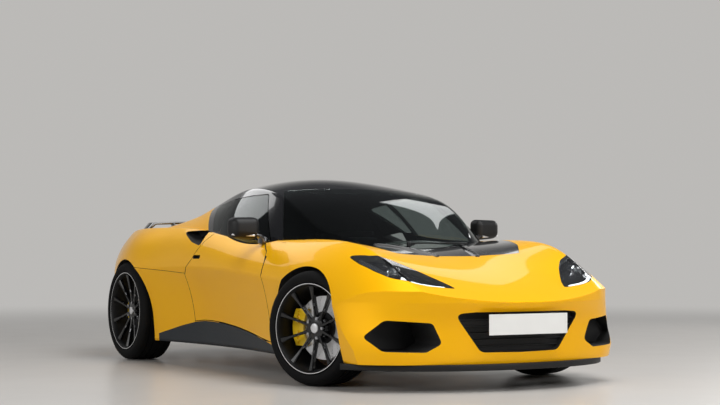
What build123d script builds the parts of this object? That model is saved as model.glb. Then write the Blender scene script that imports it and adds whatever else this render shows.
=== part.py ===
"""Two-door mid-engined coupe: body panels, glass, cabin, engine and running gear as separate pieces.

Frame: +X forward, +Y left, +Z up, in millimetres. The origin is on the ground, on the centreline,
halfway between the nose and the tail. The front wheels stand turned to the left, as the car is parked.
"""

from build123d import *
import math
import os

os.makedirs("parts", exist_ok=True)

# ---------------------------------------------------------------- driving dimensions
WHEELBASE = 2575.0
FRONT_OVERHANG = 937.5
REAR_OVERHANG = 882.5
ROOF_HEIGHT = 1229.0
PANEL_GAP = 5.0  # between a moving panel and its neighbours
SEAT_GAP = 0.3  # between two pieces of one body that lie on each other

FRONT_TYRE_RADIUS = 323.5
FRONT_TYRE_WIDTH = 238.0
FRONT_RIM_RADIUS = 255.0  # outer flange
FRONT_RIM_HALF = 114.0  # from the wheel's middle to the flange face
REAR_TYRE_RADIUS = 339.5
REAR_TYRE_WIDTH = 272.0
REAR_RIM_RADIUS = 268.0
REAR_RIM_HALF = 123.0
FRONT_TRACK = 1556.0
REAR_TRACK = 1566.0
SPOKE_COUNT = 10
SPOKE_WIDTH = 20.0
HUB_RADIUS = 72.0
HUB_BORE_RADIUS = 32.0
DISC_RADIUS = 180.0
DISC_THICKNESS = 28.0
ARM_PIN_RADIUS = 14.0

PARKED_STEER = 19.3  # degrees to the left
KINGPIN_INSET = 70.0  # from the tyre's middle to the steering axis
STEERING_RATIO = 15.0

FRONT_ARCH_RADIUS = 393.0
FRONT_ARCH_HEIGHT = 278.0  # of the arch circle's centre
REAR_ARCH_RADIUS = 385.0
REAR_ARCH_HEIGHT = 312.0
FRONT_WELL_RADIUS = 412.0  # behind the arch lip, for the steered wheel
FRONT_WELL_INNER = 455.0  # well wall, from the centreline
FRONT_WELL_OUTER = 800.0
REAR_WELL_INNER = 590.0
ARCH_OUTER = 1100.0  # wheel openings run out past the body to here

FLOOR_BOTTOM = 150.0
FLOOR_THICKNESS = 30.0
CABIN_HALF_WIDTH = 740.0  # inner face of the doors
SILL_INNER = 600.0
SILL_TOP = 400.0
FOOTWELL_SETBACK = 60.0  # behind the front axle
FOOTWELL_HALF_WIDTH = 430.0
BULKHEAD_FRONT = 830.0  # cabin side of the rear bulkhead, from the rear axle
BULKHEAD_THICKNESS = 40.0
BAY_REAR = -420.0  # rear wall of the engine bay, from the rear axle
BAY_HALF_WIDTH = 560.0
ROOF_THICKNESS = 34.0
GLASS_THICKNESS = 6.0

DOOR_FRONT = -485.0  # front shut line, from the front axle
DOOR_REAR = 898.0  # rear shut line, from the rear axle
HINGE_SETBACK = 75.0  # hinge pin behind the front shut line
HINGE_HALF_SPAN = 820.0  # hinge pin from the centreline
HINGE_PIN_RADIUS = 8.0
HINGE_CLEARANCE = 0.05
HINGE_HEIGHTS = (500.0, 670.0)
HINGE_PIN_LENGTH = 110.0
HINGE_STRAP = 28.0
TOE_HALF_WIDTH = 800.0  # the door's toe is cut back inside this distance from the centreline

TAIL_FRONT = 745.0  # front edge of the tailgate, from the rear axle
TAIL_REAR = -700.0
TAIL_GAP = 10.0
TAIL_THICKNESS = 34.0
TAIL_PIN_RADIUS = 4.5
TAIL_NOTCH = 48.0  # width of the notch in the roof that each hinge eye turns in

# ---------------------------------------------------------------- derived places
LENGTH = FRONT_OVERHANG + WHEELBASE + REAR_OVERHANG
NOSE_X = LENGTH / 2
TAIL_X = -LENGTH / 2
FRONT_AXLE = NOSE_X - FRONT_OVERHANG
REAR_AXLE = TAIL_X + REAR_OVERHANG
DATUM = {"F": FRONT_AXLE, "R": REAR_AXLE, "N": NOSE_X, "T": TAIL_X}
DOOR_FRONT_X = FRONT_AXLE + DOOR_FRONT
DOOR_REAR_X = REAR_AXLE + DOOR_REAR
HINGE_X = DOOR_FRONT_X - HINGE_SETBACK
BULKHEAD_X = REAR_AXLE + BULKHEAD_FRONT
BULKHEAD_BACK = BULKHEAD_X - BULKHEAD_THICKNESS
FOOTWELL_FRONT = FRONT_AXLE - FOOTWELL_SETBACK
FLOOR_TOP = FLOOR_BOTTOM + FLOOR_THICKNESS
KINGPIN_Y = FRONT_TRACK / 2 - KINGPIN_INSET
TAIL_FRONT_X = REAR_AXLE + TAIL_FRONT
TAIL_REAR_X = REAR_AXLE + TAIL_REAR
TAIL_HINGES = [(TAIL_FRONT_X + 22, y, 1168.0) for y in (-90, 90)]
FAR = 3000.0  # longer than any cut needs to be

# Body sections: datum and offset give the place along X. bottom: height of the underside. low: half width
# there. wide, wide_z: widest point. crest, crest_z: top of the wing. mid_z: height on the centreline.
# tuck: how far the side below the widest point is drawn in. bulge: how far the shoulder bulges out.
BODY_SECTIONS = [
    # datum, offset, bottom, low, wide, wide_z, crest, crest_z, mid_z, tuck, bulge
    ("N", 0.0, FLOOR_BOTTOM, 850, 880, 330, 560, 474, 480, -6, 10),
    ("N", -150.0, FLOOR_BOTTOM, 850, 885, 350, 600, 542, 545, -8, 20),
    ("N", -300.0, FLOOR_BOTTOM, 850, 890, 390, 625, 622, 602, -10, 34),
    ("F", 307.0, FLOOR_BOTTOM, 845, 897, 470, 655, 772, 702, -12, 48),
    ("F", 0.0, FLOOR_BOTTOM, 845, 905, 560, 670, 818, 765, -10, 50),
    ("F", -400.0, FLOOR_BOTTOM, 825, 893, 600, 700, 822, 795, 12, 40),
    ("F", -960.0, FLOOR_BOTTOM, 765, 880, 640, 750, 824, 830, 34, 26),
    ("R", 915.0, FLOOR_BOTTOM, 775, 878, 650, 765, 892, 900, 36, 30),
    ("R", 365.0, FLOOR_BOTTOM, 845, 905, 640, 742, 915, 930, 8, 40),
    ("R", 0.0, FLOOR_BOTTOM, 860, 922, 630, 735, 914, 925, -8, 46),
    ("R", -485.0, 160, 740, 795, 600, 640, 892, 905, -14, 30),
    ("T", 0.0, 190, 600, 650, 560, 520, 838, 862, -14, 40),
]
# Plan outline of the nose and tail, from the centreline outwards: (inset from the end, half width)
NOSE_ARCS = [((0, 0), (41, 330), (150, 600)), ((150, 600), (290, 752), (640, 910))]
TAIL_ARCS = [
    ((0, 0), (40, 330), (140, 590)), ((140, 590), (207, 683), (330, 759)),
    ((330, 759), (510, 842), (697, 921)),
]
PLAN_HALF_WIDTH = 935.0
# How the end outlines draw in with height: (height, nose inset, tail inset)
END_HEIGHTS = [(100, 84, 150), (209, 84, 110), (470, 0, 30), (700, 0, 0), (1300, 0, 0)]

# Glasshouse sections. base: half width at the height BASE_Z. eave, eave_z: top of the side glass.
# top_z: height on the centreline. bulge: how far the side bulges out.
BASE_Z = 740.0
HOUSE_SECTIONS = [
    # datum, offset, base, eave, eave_z, top_z, bulge
    ("F", -170.0, 560, 300, 782, 806, 6),
    ("F", -420.0, 700, 520, 880, 936, 10),
    ("F", -700.0, 785, 580, 1030, 1068, 16),
    ("F", -980.0, 808, 575, 1122, 1162, 20),
    ("F", -1310.0, 812, 560, 1152, ROOF_HEIGHT - 2, 22),
    ("R", 900.0, 800, 560, 1090, 1198, 22),
    ("R", 500.0, 790, 580, 985, 1120, 20),
    ("R", 0.0, 760, 600, 915, 1010, 14),
    ("R", -520.0, 700, 560, 868, 935, 10),
]

# Outlines seen from the side, (X from the front axle, height).
DOOR_OUTLINE = [
    (DOOR_FRONT, 205), (DOOR_FRONT, 1000), (-700, 1300), (-1340, 1300), (-1376, 905), (-1478, 790),
    (-1545, 700), (DOOR_REAR - WHEELBASE, 600), (DOOR_REAR - WHEELBASE, 293), (-1559, 315),
]
DOOR_GLASS_OUTLINE = [
    (-690, 700), (-690, 822), (-1000, 1108), (-1210, 1104), (-1478, 1086), (-1360, 866), (-1310, 700),
]
QUARTER_GLASS_OUTLINE = [(-1494, 1083), (-1729, 1050), (-1621, 969), (-1499, 885), (-1384, 880)]
SCOOP_OUTLINE = [(-1857, 885), (-1497, 893), (-1490, 787), (-1637, 814)]
ROOF_REAR = -1820.0  # rear edge of the roof, from the front axle
ROOF_OUTLINE = [(-60, 740), (-60, 1300), (ROOF_REAR, 1300), (ROOF_REAR, 1022), (-1560, 870), (-1540, 800)]
SKIRT_OUTLINE = [(-405, 120), (-405, 190), (-1559, 308), (-2135, 200), (-2135, 120)]
# Outlines seen from above, (X from the nose, half width).
WINDSCREEN_OUTLINE = [
    (-1872, 0), (-1887, 180), (-1908, 393), (-1912, 492), (-1525, 704), (-1400, 760), (-1040, 760),
    (-1040, 0),
]
BONNET_OUTLINE = [
    (-730, 0), (-716, 250), (-682, 423), (-860, 530), (-1090, 600), (-1145, 560), (-1120, 300), (-1110, 0),
]
HEADLAMP_OUTLINE = [
    (-631, 764), (-500, 690), (-350, 590), (-205, 478), (-106, 366), (-118, 480), (-200, 590), (-330, 690),
    (-480, 765),
]
# Outlines seen from the front, (half width, height).
GRILLE_OUTLINE = [(0, 427), (415, 427), (256, 212), (0, 212)]
INTAKE_OUTLINE = [(480, 262), (530, 372), (760, 385), (800, 290), (760, 228), (560, 222)]
LAMP_DEPTH = 40.0
LAMP_GAP = 1.5
GRILLE_DEPTH = 60.0
PANEL_THICKNESS = 14.0


def at(datum, offset):
    return DATUM[datum] + offset


def body_section(row):
    """One closed body section, standing at its place along X."""
    datum, offset, bottom, low, wide, wide_z, crest, crest_z, mid_z, tuck, bulge = row
    shoulder = ((wide + crest) / 2 + 0.6 * bulge, (wide_z + crest_z) / 2 + 0.6 * bulge)
    with BuildSketch(Plane.YZ.offset(at(datum, offset))) as section:
        with BuildLine():
            Line((-low, bottom), (low, bottom))
            ThreePointArc((low, bottom), ((low + wide) / 2 - tuck, (bottom + wide_z) / 2), (wide, wide_z))
            ThreePointArc((wide, wide_z), shoulder, (crest, crest_z))
            ThreePointArc((crest, crest_z), (0, mid_z), (-crest, crest_z))
            ThreePointArc((-crest, crest_z), (-shoulder[0], shoulder[1]), (-wide, wide_z))
            ThreePointArc((-wide, wide_z), ((-low - wide) / 2 + tuck, (bottom + wide_z) / 2), (-low, bottom))
        make_face()
    return section.sketch.face()


def house_section(row, inset):
    """One closed section of the glasshouse, standing at its place along X and drawn in by an inset."""
    datum, offset, base, eave, eave_z, top_z, bulge = row
    base, eave = base - inset, eave - inset * 0.5
    eave_z, top_z = eave_z - inset, top_z - inset
    side = ((base + eave) / 2 + bulge, (BASE_Z + eave_z) / 2)
    with BuildSketch(Plane.YZ.offset(at(datum, offset))) as section:
        with BuildLine():
            Line((-base, BASE_Z), (base, BASE_Z))
            ThreePointArc((base, BASE_Z), side, (eave, eave_z))
            ThreePointArc((eave, eave_z), (0, top_z), (-eave, eave_z))
            ThreePointArc((-eave, eave_z), (-side[0], side[1]), (-base, BASE_Z))
        make_face()
    return section.sketch.face()


def house(inset):
    with BuildPart() as solid:
        loft(sections=[house_section(row, inset) for row in HOUSE_SECTIONS])
    return solid.part


def end_section(row):
    """Plan of the whole body at one height, with rounded ends."""
    height, nose_inset, tail_inset = row
    with BuildSketch(Plane.XY.offset(height)) as section:
        with BuildLine():
            for arcs, end, way in [(NOSE_ARCS, NOSE_X - nose_inset, -1), (TAIL_ARCS, TAIL_X + tail_inset, 1)]:
                for arc in arcs:
                    points = [(end + way * x, y) for x, y in arc]
                    ThreePointArc(*points)
                    ThreePointArc(*[(x, -y) for x, y in points])
            front = (NOSE_X - nose_inset - NOSE_ARCS[-1][-1][0], NOSE_ARCS[-1][-1][1])
            rear = (TAIL_X + tail_inset + TAIL_ARCS[-1][-1][0], TAIL_ARCS[-1][-1][1])
            for side in (1, -1):
                Polyline((front[0], side * front[1]), (FRONT_AXLE, side * PLAN_HALF_WIDTH),
                         (REAR_AXLE, side * PLAN_HALF_WIDTH), (rear[0], side * rear[1]))
        make_face()
    return section.sketch.face()


def side_prism(outline, inner, outer=FAR, grow=0.0, datum=FRONT_AXLE):
    """Both sides' solid with an outline seen from the side, between two distances off the centreline."""
    with BuildPart() as solid:
        with BuildSketch(Plane.XZ.offset(-outer)):
            with BuildLine():
                Polyline(*[(datum + x, z) for x, z in outline], close=True)
            make_face()
            if grow:
                offset(amount=grow, kind=Kind.INTERSECTION)
        extrude(amount=outer - inner)
        mirror(about=Plane.XZ)
    return solid.part


def plan_prism(outline, low, high, grow=0.0, both=False):
    """Upright solid with an outline seen from above. With both, one side's outline stands on each side."""
    points = [(NOSE_X + x, y) for x, y in outline]
    if not both:
        points += [(x, -y) for x, y in reversed(points) if y]
    with BuildPart() as solid:
        with BuildSketch(Plane.XY.offset(low)):
            with BuildLine():
                Polyline(*points, close=True)
            make_face()
            if grow:
                offset(amount=grow, kind=Kind.INTERSECTION)
        extrude(amount=high - low)
        if both:
            mirror(about=Plane.XZ)
    return solid.part


def front_prism(outline, low, high, grow=0.0, both=False):
    """Solid along X between two places, with an outline seen from the front."""
    points = list(outline)
    if not both:
        points += [(-y, z) for y, z in reversed(points) if y]
    with BuildPart() as solid:
        with BuildSketch(Plane.YZ.offset(low)):
            with BuildLine():
                Polyline(*points, close=True)
            make_face()
            if grow:
                offset(amount=grow, kind=Kind.INTERSECTION)
        extrude(amount=high - low)
        if both:
            mirror(about=Plane.XZ)
    return solid.part


def block(x0, x1, y0, y1, z0, z1):
    """Box between two corners."""
    with BuildPart(Location(((x0 + x1) / 2, (y0 + y1) / 2, (z0 + z1) / 2))) as solid:
        Box(x1 - x0, y1 - y0, z1 - z0)
    return solid.part


def shifted(solid, x=0.0, y=0.0, z=0.0):
    return solid.moved(Location((x, y, z)))


# ---------------------------------------------------------------- outer forms
with BuildPart() as ends:
    loft(sections=[end_section(row) for row in END_HEIGHTS], ruled=True)

with BuildPart() as envelope:
    loft(sections=[body_section(row) for row in BODY_SECTIONS])
    add(ends.part, mode=Mode.INTERSECT)

outer_house = house(0)
inner_house = house(ROOF_THICKNESS)
glass_skin = outer_house - house(GLASS_THICKNESS)

# Everything the shell is cut by: cabin, wheel wells, engine bay and lamp, grille and scoop pockets.
with BuildPart() as cabin:
    add(block(BULKHEAD_X, DOOR_FRONT_X - 140, -SILL_INNER, SILL_INNER, FLOOR_TOP, 800))
    add(block(BULKHEAD_X, DOOR_FRONT_X, -CABIN_HALF_WIDTH, CABIN_HALF_WIDTH, SILL_TOP, 812))
    add(block(BULKHEAD_X, FOOTWELL_FRONT, -FOOTWELL_HALF_WIDTH, FOOTWELL_HALF_WIDTH, FLOOR_TOP, 560))
    add(block(DOOR_FRONT_X - 200, FRONT_AXLE - 260, -560, 560, 500, 740))
    add(block(BULKHEAD_X, FRONT_AXLE - 215, -900, 900, 740, ROOF_HEIGHT) & inner_house)

with BuildPart() as wells:
    for axle, height, radius, inner, outer in [
        (FRONT_AXLE, FRONT_ARCH_HEIGHT, FRONT_ARCH_RADIUS, FRONT_WELL_INNER, ARCH_OUTER),
        (FRONT_AXLE, FRONT_ARCH_HEIGHT, FRONT_WELL_RADIUS, FRONT_WELL_INNER, FRONT_WELL_OUTER),
        (REAR_AXLE, REAR_ARCH_HEIGHT, REAR_ARCH_RADIUS, REAR_WELL_INNER, ARCH_OUTER),
    ]:
        for side in (1, -1):
            with Locations((axle, side * (inner + outer) / 2, height)):
                Cylinder(radius, outer - inner, rotation=(90, 0, 0))
            with Locations((axle, side * (inner + outer) / 2, height / 2 - 50)):
                Box(2 * radius, outer - inner, height + 100)

with BuildPart() as engine_bay:
    add(block(REAR_AXLE + BAY_REAR, BULKHEAD_BACK, -BAY_HALF_WIDTH, BAY_HALF_WIDTH, FLOOR_TOP, 820))
    add(block(REAR_AXLE + BAY_REAR, TAIL_FRONT_X + TAIL_GAP, -440, 440, 800, 1300))

door_zone = side_prism(DOOR_OUTLINE, CABIN_HALF_WIDTH)
door_hole = side_prism(DOOR_OUTLINE, CABIN_HALF_WIDTH - 2, grow=PANEL_GAP)
tail_outline = [
    (TAIL_FRONT_X - NOSE_X, 0), (TAIL_FRONT_X - NOSE_X, 452), (-3300, 470), (TAIL_REAR_X - NOSE_X, 460),
    (TAIL_REAR_X - NOSE_X, 0),
]
tail_zone = plan_prism(tail_outline, 700, 1400)
tail_hole = plan_prism(tail_outline, 700, 1400, grow=TAIL_GAP)
skirt_zone = side_prism(SKIRT_OUTLINE, SILL_INNER + 60)
roof_zone = side_prism(ROOF_OUTLINE, 0)

# ---------------------------------------------------------------- body panels
HINGES = [(HINGE_X, side * HINGE_HALF_SPAN, z) for side in (1, -1) for z in HINGE_HEIGHTS]
hinge_reach = math.hypot(HINGE_SETBACK, HINGE_SETBACK)

with BuildPart() as hinge_swing:
    for side in (1, -1):
        with Locations((HINGE_X, side * HINGE_HALF_SPAN, 600)):
            Cylinder(hinge_reach + PANEL_GAP, 1000)

with BuildPart() as hinge_ears:
    for x, y, z in HINGES:
        way = 1 if y > 0 else -1
        with Locations((x, y, z)):
            Cylinder(HINGE_PIN_RADIUS, HINGE_PIN_LENGTH)
            Cylinder(HINGE_PIN_RADIUS + 8, HINGE_STRAP)
        with Locations((x, y - way * 65, z)):
            Box(2 * (HINGE_PIN_RADIUS + 8), 130, HINGE_STRAP)

with BuildPart() as hinge_pockets:
    for x, y, z in HINGES:
        way = 1 if y > 0 else -1
        with Locations((x, y, z)):
            Cylinder(HINGE_PIN_RADIUS + HINGE_CLEARANCE, HINGE_PIN_LENGTH + 6)
            Cylinder(HINGE_PIN_RADIUS + 14, HINGE_STRAP + 12)
        with Locations((x + 40, y - way * 36.5, z)):
            Box(125, 117, HINGE_STRAP + 12)

front_zone = block(DOOR_FRONT_X - 160, FAR, -FAR, FAR, 0, 2000)
tub_zone = block(BULKHEAD_BACK, DOOR_FRONT_X - 160, -CABIN_HALF_WIDTH + 2, CABIN_HALF_WIDTH - 2, 0, 800)
rear_zone = block(-FAR, -100, -FAR, FAR, 0, 2000)
behind_doors = block(-FAR, FRONT_AXLE - 1400, -FAR, FAR, 600, 2000)
pillar_zone = behind_doors - side_prism(ROOF_OUTLINE, 0, grow=SEAT_GAP)
body_cut = shifted(envelope.part, z=SEAT_GAP)
skirt_hole = side_prism(SKIRT_OUTLINE, SILL_INNER + 60, grow=SEAT_GAP)
diffuser_hole = block(-FAR, TAIL_X + 439 + SEAT_GAP, -515 - SEAT_GAP, 515 + SEAT_GAP, 0, 330)
quarter_hole = side_prism(QUARTER_GLASS_OUTLINE, 540, grow=SEAT_GAP)
EXHAUST = (TAIL_X + 30, 0, 385)
TAIL_LAMP_RADIUS = 54.0
TAIL_LAMPS = [(TAIL_X + 100, side * y, 690) for side in (1, -1) for y in (395, 515)]
with BuildPart() as tail_lamp_zone:
    with Locations(*TAIL_LAMPS):
        Cylinder(TAIL_LAMP_RADIUS - SEAT_GAP, 300, rotation=(0, 90, 0))
with BuildPart() as tail_lamp_hole:
    with Locations(*TAIL_LAMPS):
        Cylinder(TAIL_LAMP_RADIUS, 300, rotation=(0, 90, 0))


def carve(solid, cuts):
    """Cut several solids from one in a single step."""
    return solid.cut(*cuts)


bonnet_pocket = carve(plan_prism(BONNET_OUTLINE, 500, 1000, grow=1),
                      [shifted(envelope.part, z=-PANEL_THICKNESS - SEAT_GAP)])
lamp_pocket = carve(plan_prism(HEADLAMP_OUTLINE, 400, 900, grow=LAMP_GAP, both=True),
                    [shifted(envelope.part, x=-LAMP_DEPTH - 2, z=-LAMP_DEPTH - 2)])
tail_lamp_pocket = carve(tail_lamp_hole.part, [shifted(envelope.part, x=60)])

with BuildPart() as nose:
    add(carve(envelope.part & front_zone, [
        cabin.part, wells.part, door_hole, hinge_swing.part, skirt_hole,
        front_prism(GRILLE_OUTLINE, NOSE_X - 284, FAR),
        front_prism(INTAKE_OUTLINE, NOSE_X - 414, FAR, both=True), bonnet_pocket, lamp_pocket,
    ]))
    for side in (1, -1):
        with Locations((DOOR_FRONT_X - 62, side * 652, 515)):
            Box(140, 96, 570)
    add(hinge_ears.part)

with BuildPart() as bonnet_panel:
    add(carve(envelope.part & plan_prism(BONNET_OUTLINE, 500, 1000),
              [shifted(envelope.part, z=-PANEL_THICKNESS)]))

with BuildPart() as floor_tub:
    add(carve(envelope.part & tub_zone, [cabin.part, wells.part, engine_bay.part, door_hole, skirt_hole]))

with BuildPart() as rear_form:
    add(envelope.part & rear_zone)
    add(outer_house & pillar_zone)

with BuildPart() as rear_clip:
    tail_pocket = carve(tail_hole, [shifted(rear_form.part, z=-TAIL_THICKNESS - TAIL_GAP)])
    add(carve(rear_form.part, [
        cabin.part, wells.part, engine_bay.part, tub_zone, door_hole, skirt_hole, tail_pocket, diffuser_hole,
        side_prism(SCOOP_OUTLINE, 700), tail_lamp_pocket, carve(quarter_hole, [body_cut]),
    ]))
    with Locations(EXHAUST):
        Cylinder(70, 900, rotation=(0, 90, 0), mode=Mode.SUBTRACT)

screen_zone = plan_prism(WINDSCREEN_OUTLINE, 700, 1300)
with BuildPart() as roof:
    add(carve(outer_house & roof_zone, [
        body_cut, cabin.part, engine_bay.part, tail_hole, quarter_hole,
        side_prism(DOOR_GLASS_OUTLINE, 540, grow=PANEL_GAP + 1),
        plan_prism(WINDSCREEN_OUTLINE, 700, 1300, grow=2),
    ]))
    with Locations(*[(x + 4, y, z) for x, y, z in TAIL_HINGES]):
        Box(38, TAIL_NOTCH, 44, mode=Mode.SUBTRACT)
    with Locations(*TAIL_HINGES):
        Cylinder(TAIL_PIN_RADIUS, TAIL_NOTCH + 12, rotation=(90, 0, 0))

with BuildPart() as windscreen:
    add(carve(glass_skin & screen_zone, [body_cut]))

with BuildPart() as quarter_glass:
    add(carve(glass_skin & side_prism(QUARTER_GLASS_OUTLINE, 540), [body_cut]))

# The door's toe swings in ahead of its hinge, over this part of the skirt.
toe_zone = block(HINGE_X - 140, DOOR_FRONT_X + 25, -TOE_HALF_WIDTH, TOE_HALF_WIDTH, 0, 2000)
with BuildPart() as side_skirts:
    add(carve(envelope.part & skirt_zone, [toe_zone & block(0, FAR, -FAR, FAR, 190, 400)]))

with BuildPart() as ahead_of_hinge:
    add(block(HINGE_X, FAR, -FAR, FAR, 0, 2000))
    for side in (1, -1):
        with Locations((HINGE_X, side * HINGE_HALF_SPAN, 600)):
            Cylinder(hinge_reach, 1400, mode=Mode.SUBTRACT)

with BuildPart() as door_pair:
    add(carve(envelope.part & door_zone, [
        hinge_pockets.part, ahead_of_hinge.part, toe_zone & block(0, FAR, -FAR, FAR, 0, 240),
    ]))

with BuildPart() as door_glass_pair:
    add(carve(glass_skin & side_prism(DOOR_GLASS_OUTLINE, 540), [body_cut]))

right_half = block(-FAR, FAR, -FAR, 0, 0, 2000)
left_half = block(-FAR, FAR, 0, FAR, 0, 2000)
MIRROR = (501, 888, 909)  # middle of the left mirror's housing
with BuildPart() as mirror_left:
    with Locations(MIRROR):
        Box(120, 190, 112)
        fillet(mirror_left.edges(), 34)
with BuildPart() as mirror_arm:
    with BuildSketch(Plane.YZ.offset(MIRROR[0] + 15)):
        with BuildLine():
            Polyline((745, 790), (800, 790), (850, 862), (850, 905), (800, 880), (745, 822), close=True)
        make_face()
    extrude(amount=36)
    add(shifted(envelope.part, z=SEAT_GAP), mode=Mode.SUBTRACT)
    add(outer_house, mode=Mode.SUBTRACT)

# ---------------------------------------------------------------- glass, lamps and trim
with BuildPart() as headlamps:
    add(carve(envelope.part & plan_prism(HEADLAMP_OUTLINE, 400, 900, both=True),
              [shifted(envelope.part, x=-LAMP_DEPTH, z=-LAMP_DEPTH)]))

with BuildPart() as tail_lamps:
    add(carve(envelope.part & tail_lamp_zone.part, [shifted(envelope.part, x=52)]))

GRILLE_X = NOSE_X - 84 - GRILLE_DEPTH
with BuildPart() as grilles:
    add(front_prism(GRILLE_OUTLINE, GRILLE_X - 8, GRILLE_X, grow=-SEAT_GAP))
    add(front_prism(INTAKE_OUTLINE, NOSE_X - 408, NOSE_X - 400, grow=-SEAT_GAP, both=True))

PLATE = (520.0, 111.0, 3.0)
with BuildPart() as number_plates:
    with Locations((NOSE_X - 12, 0, 363), (TAIL_X + 11.2, 0, 545)):
        Box(PLATE[2], PLATE[0], PLATE[1])
    with Locations(*[(NOSE_X - 13.5 - 65, y, 363) for y in (-150, 150)]):
        Box(130, 24, 24)

with BuildPart() as splitter:
    with BuildSketch(Plane.XY.offset(FLOOR_BOTTOM - SEAT_GAP)):
        with BuildLine():
            for arc in NOSE_ARCS:
                points = [(NOSE_X - 46 - x, y) for x, y in arc]
                ThreePointArc(*points)
                ThreePointArc(*[(x, -y) for x, y in points])
            ends_at = (NOSE_X - 46 - NOSE_ARCS[-1][-1][0], NOSE_ARCS[-1][-1][1])
            Line(ends_at, (ends_at[0], -ends_at[1]))
        make_face()
    extrude(amount=-34)
    add(wells.part, mode=Mode.SUBTRACT)

with BuildPart() as diffuser:
    with BuildSketch(Plane.XZ.offset(-515)):
        with BuildLine():
            Polyline((TAIL_X + 439, FLOOR_BOTTOM), (TAIL_X + 112, 250), (TAIL_X + 112, 300),
                     (TAIL_X + 439, 210), close=True)
        make_face()
    extrude(amount=1030)
    for y in (-480, -240, 0, 240, 480):
        with BuildSketch(Plane.XZ.offset(-y - 5)):
            with BuildLine():
                Polyline((TAIL_X + 420, FLOOR_BOTTOM), (TAIL_X + 122, FLOOR_BOTTOM + 10), (TAIL_X + 122, 260),
                         (TAIL_X + 420, 170), close=True)
            make_face()
        extrude(amount=10)

with BuildPart() as exhaust_tip:
    with Locations((EXHAUST[0] + 120, EXHAUST[1], EXHAUST[2])):
        Cylinder(62, 260, rotation=(0, 90, 0))
    with Locations((EXHAUST[0] + 100, EXHAUST[1], EXHAUST[2])):
        Cylinder(56, 260, rotation=(0, 90, 0), mode=Mode.SUBTRACT)
    with Locations((EXHAUST[0] + 245, EXHAUST[1], EXHAUST[2])):
        Cylinder(70 - SEAT_GAP, 10, rotation=(0, 90, 0))

with BuildPart() as wiper:
    with Locations((FRONT_AXLE - 150, -90, 790)):
        Cylinder(12, 50)
    with Locations((FRONT_AXLE - 155, 115, 803)):
        Box(12, 430, 8)
    add(body_cut, mode=Mode.SUBTRACT)

# ---------------------------------------------------------------- cabin
with BuildPart() as dashboard:
    with BuildSketch(Plane.XZ.offset(-555)):
        with BuildLine():
            Polyline((590, 560), (585, 660), (640, 742), (999.5, 738), (999.5, 560), close=True)
        make_face()
    extrude(amount=1110)
    with Locations(Location((560.6, -360, 597.7), (0, -65, 0))):
        Cylinder(12, 210)

with BuildPart() as console:
    with Locations((90, 0, FLOOR_TOP + 130)):
        Box(1080, 190, 260 - 2 * SEAT_GAP)

SEAT_Y = 360.0
with BuildPart() as front_seats:
    for y in (-SEAT_Y, SEAT_Y):
        with BuildSketch(Plane.XZ.offset(-y - 232)):
            with BuildLine():
                Polyline((190, FLOOR_TOP + SEAT_GAP), (215, 345), (190, 380), (-150, 330), (-345, 860),
                         (-395, 905), (-455, 895), (-300, FLOOR_TOP + SEAT_GAP), close=True)
            make_face()
        extrude(amount=464)
        fillet(front_seats.edges().filter_by(Axis.Y).group_by(Axis.Z)[-1], 12)

with BuildPart(Location((470, -360, 640), (0, -65, 0))) as steering_wheel:
    Torus(178, 14)
    Cylinder(34, 34)
    for angle in (0, 120, 240):
        with Locations(Location((0, 0, 0), (0, 0, angle + PARKED_STEER * STEERING_RATIO))):
            with Locations((102, 0, 0)):
                Box(150, 26, 12)
    Cylinder(12 + HINGE_CLEARANCE, 60, mode=Mode.SUBTRACT)

with BuildPart() as engine:
    with Locations((REAR_AXLE + 180, 0, FLOOR_TOP + SEAT_GAP + 280)):
        Box(820, 680, 560)

# ---------------------------------------------------------------- tailgate
TAIL_GLASS_OUTLINE = [(-2850, 0), (-2850, 360), (-3330, 400), (-3330, 0)]

# ---------------------------------------------------------------- wheels
def tyre_profile(radius, width, rim_radius):
    half = width / 2
    with BuildSketch(Plane.XY) as profile:
        with BuildLine():
            Polyline((rim_radius - 12, 0), (rim_radius - 12, half - 18), (rim_radius + 1, half - 12))
            ThreePointArc((rim_radius + 1, half - 12), ((rim_radius + radius) / 2 - 4, half),
                          (radius - 14, half - 14))
            ThreePointArc((radius - 14, half - 14), (radius - 5, half - 24), (radius, half - 46))
            Polyline((radius, half - 46), (radius, 0), (rim_radius - 12, 0))
        make_face()
        mirror(about=Plane.XZ)
    return profile.sketch


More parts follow.
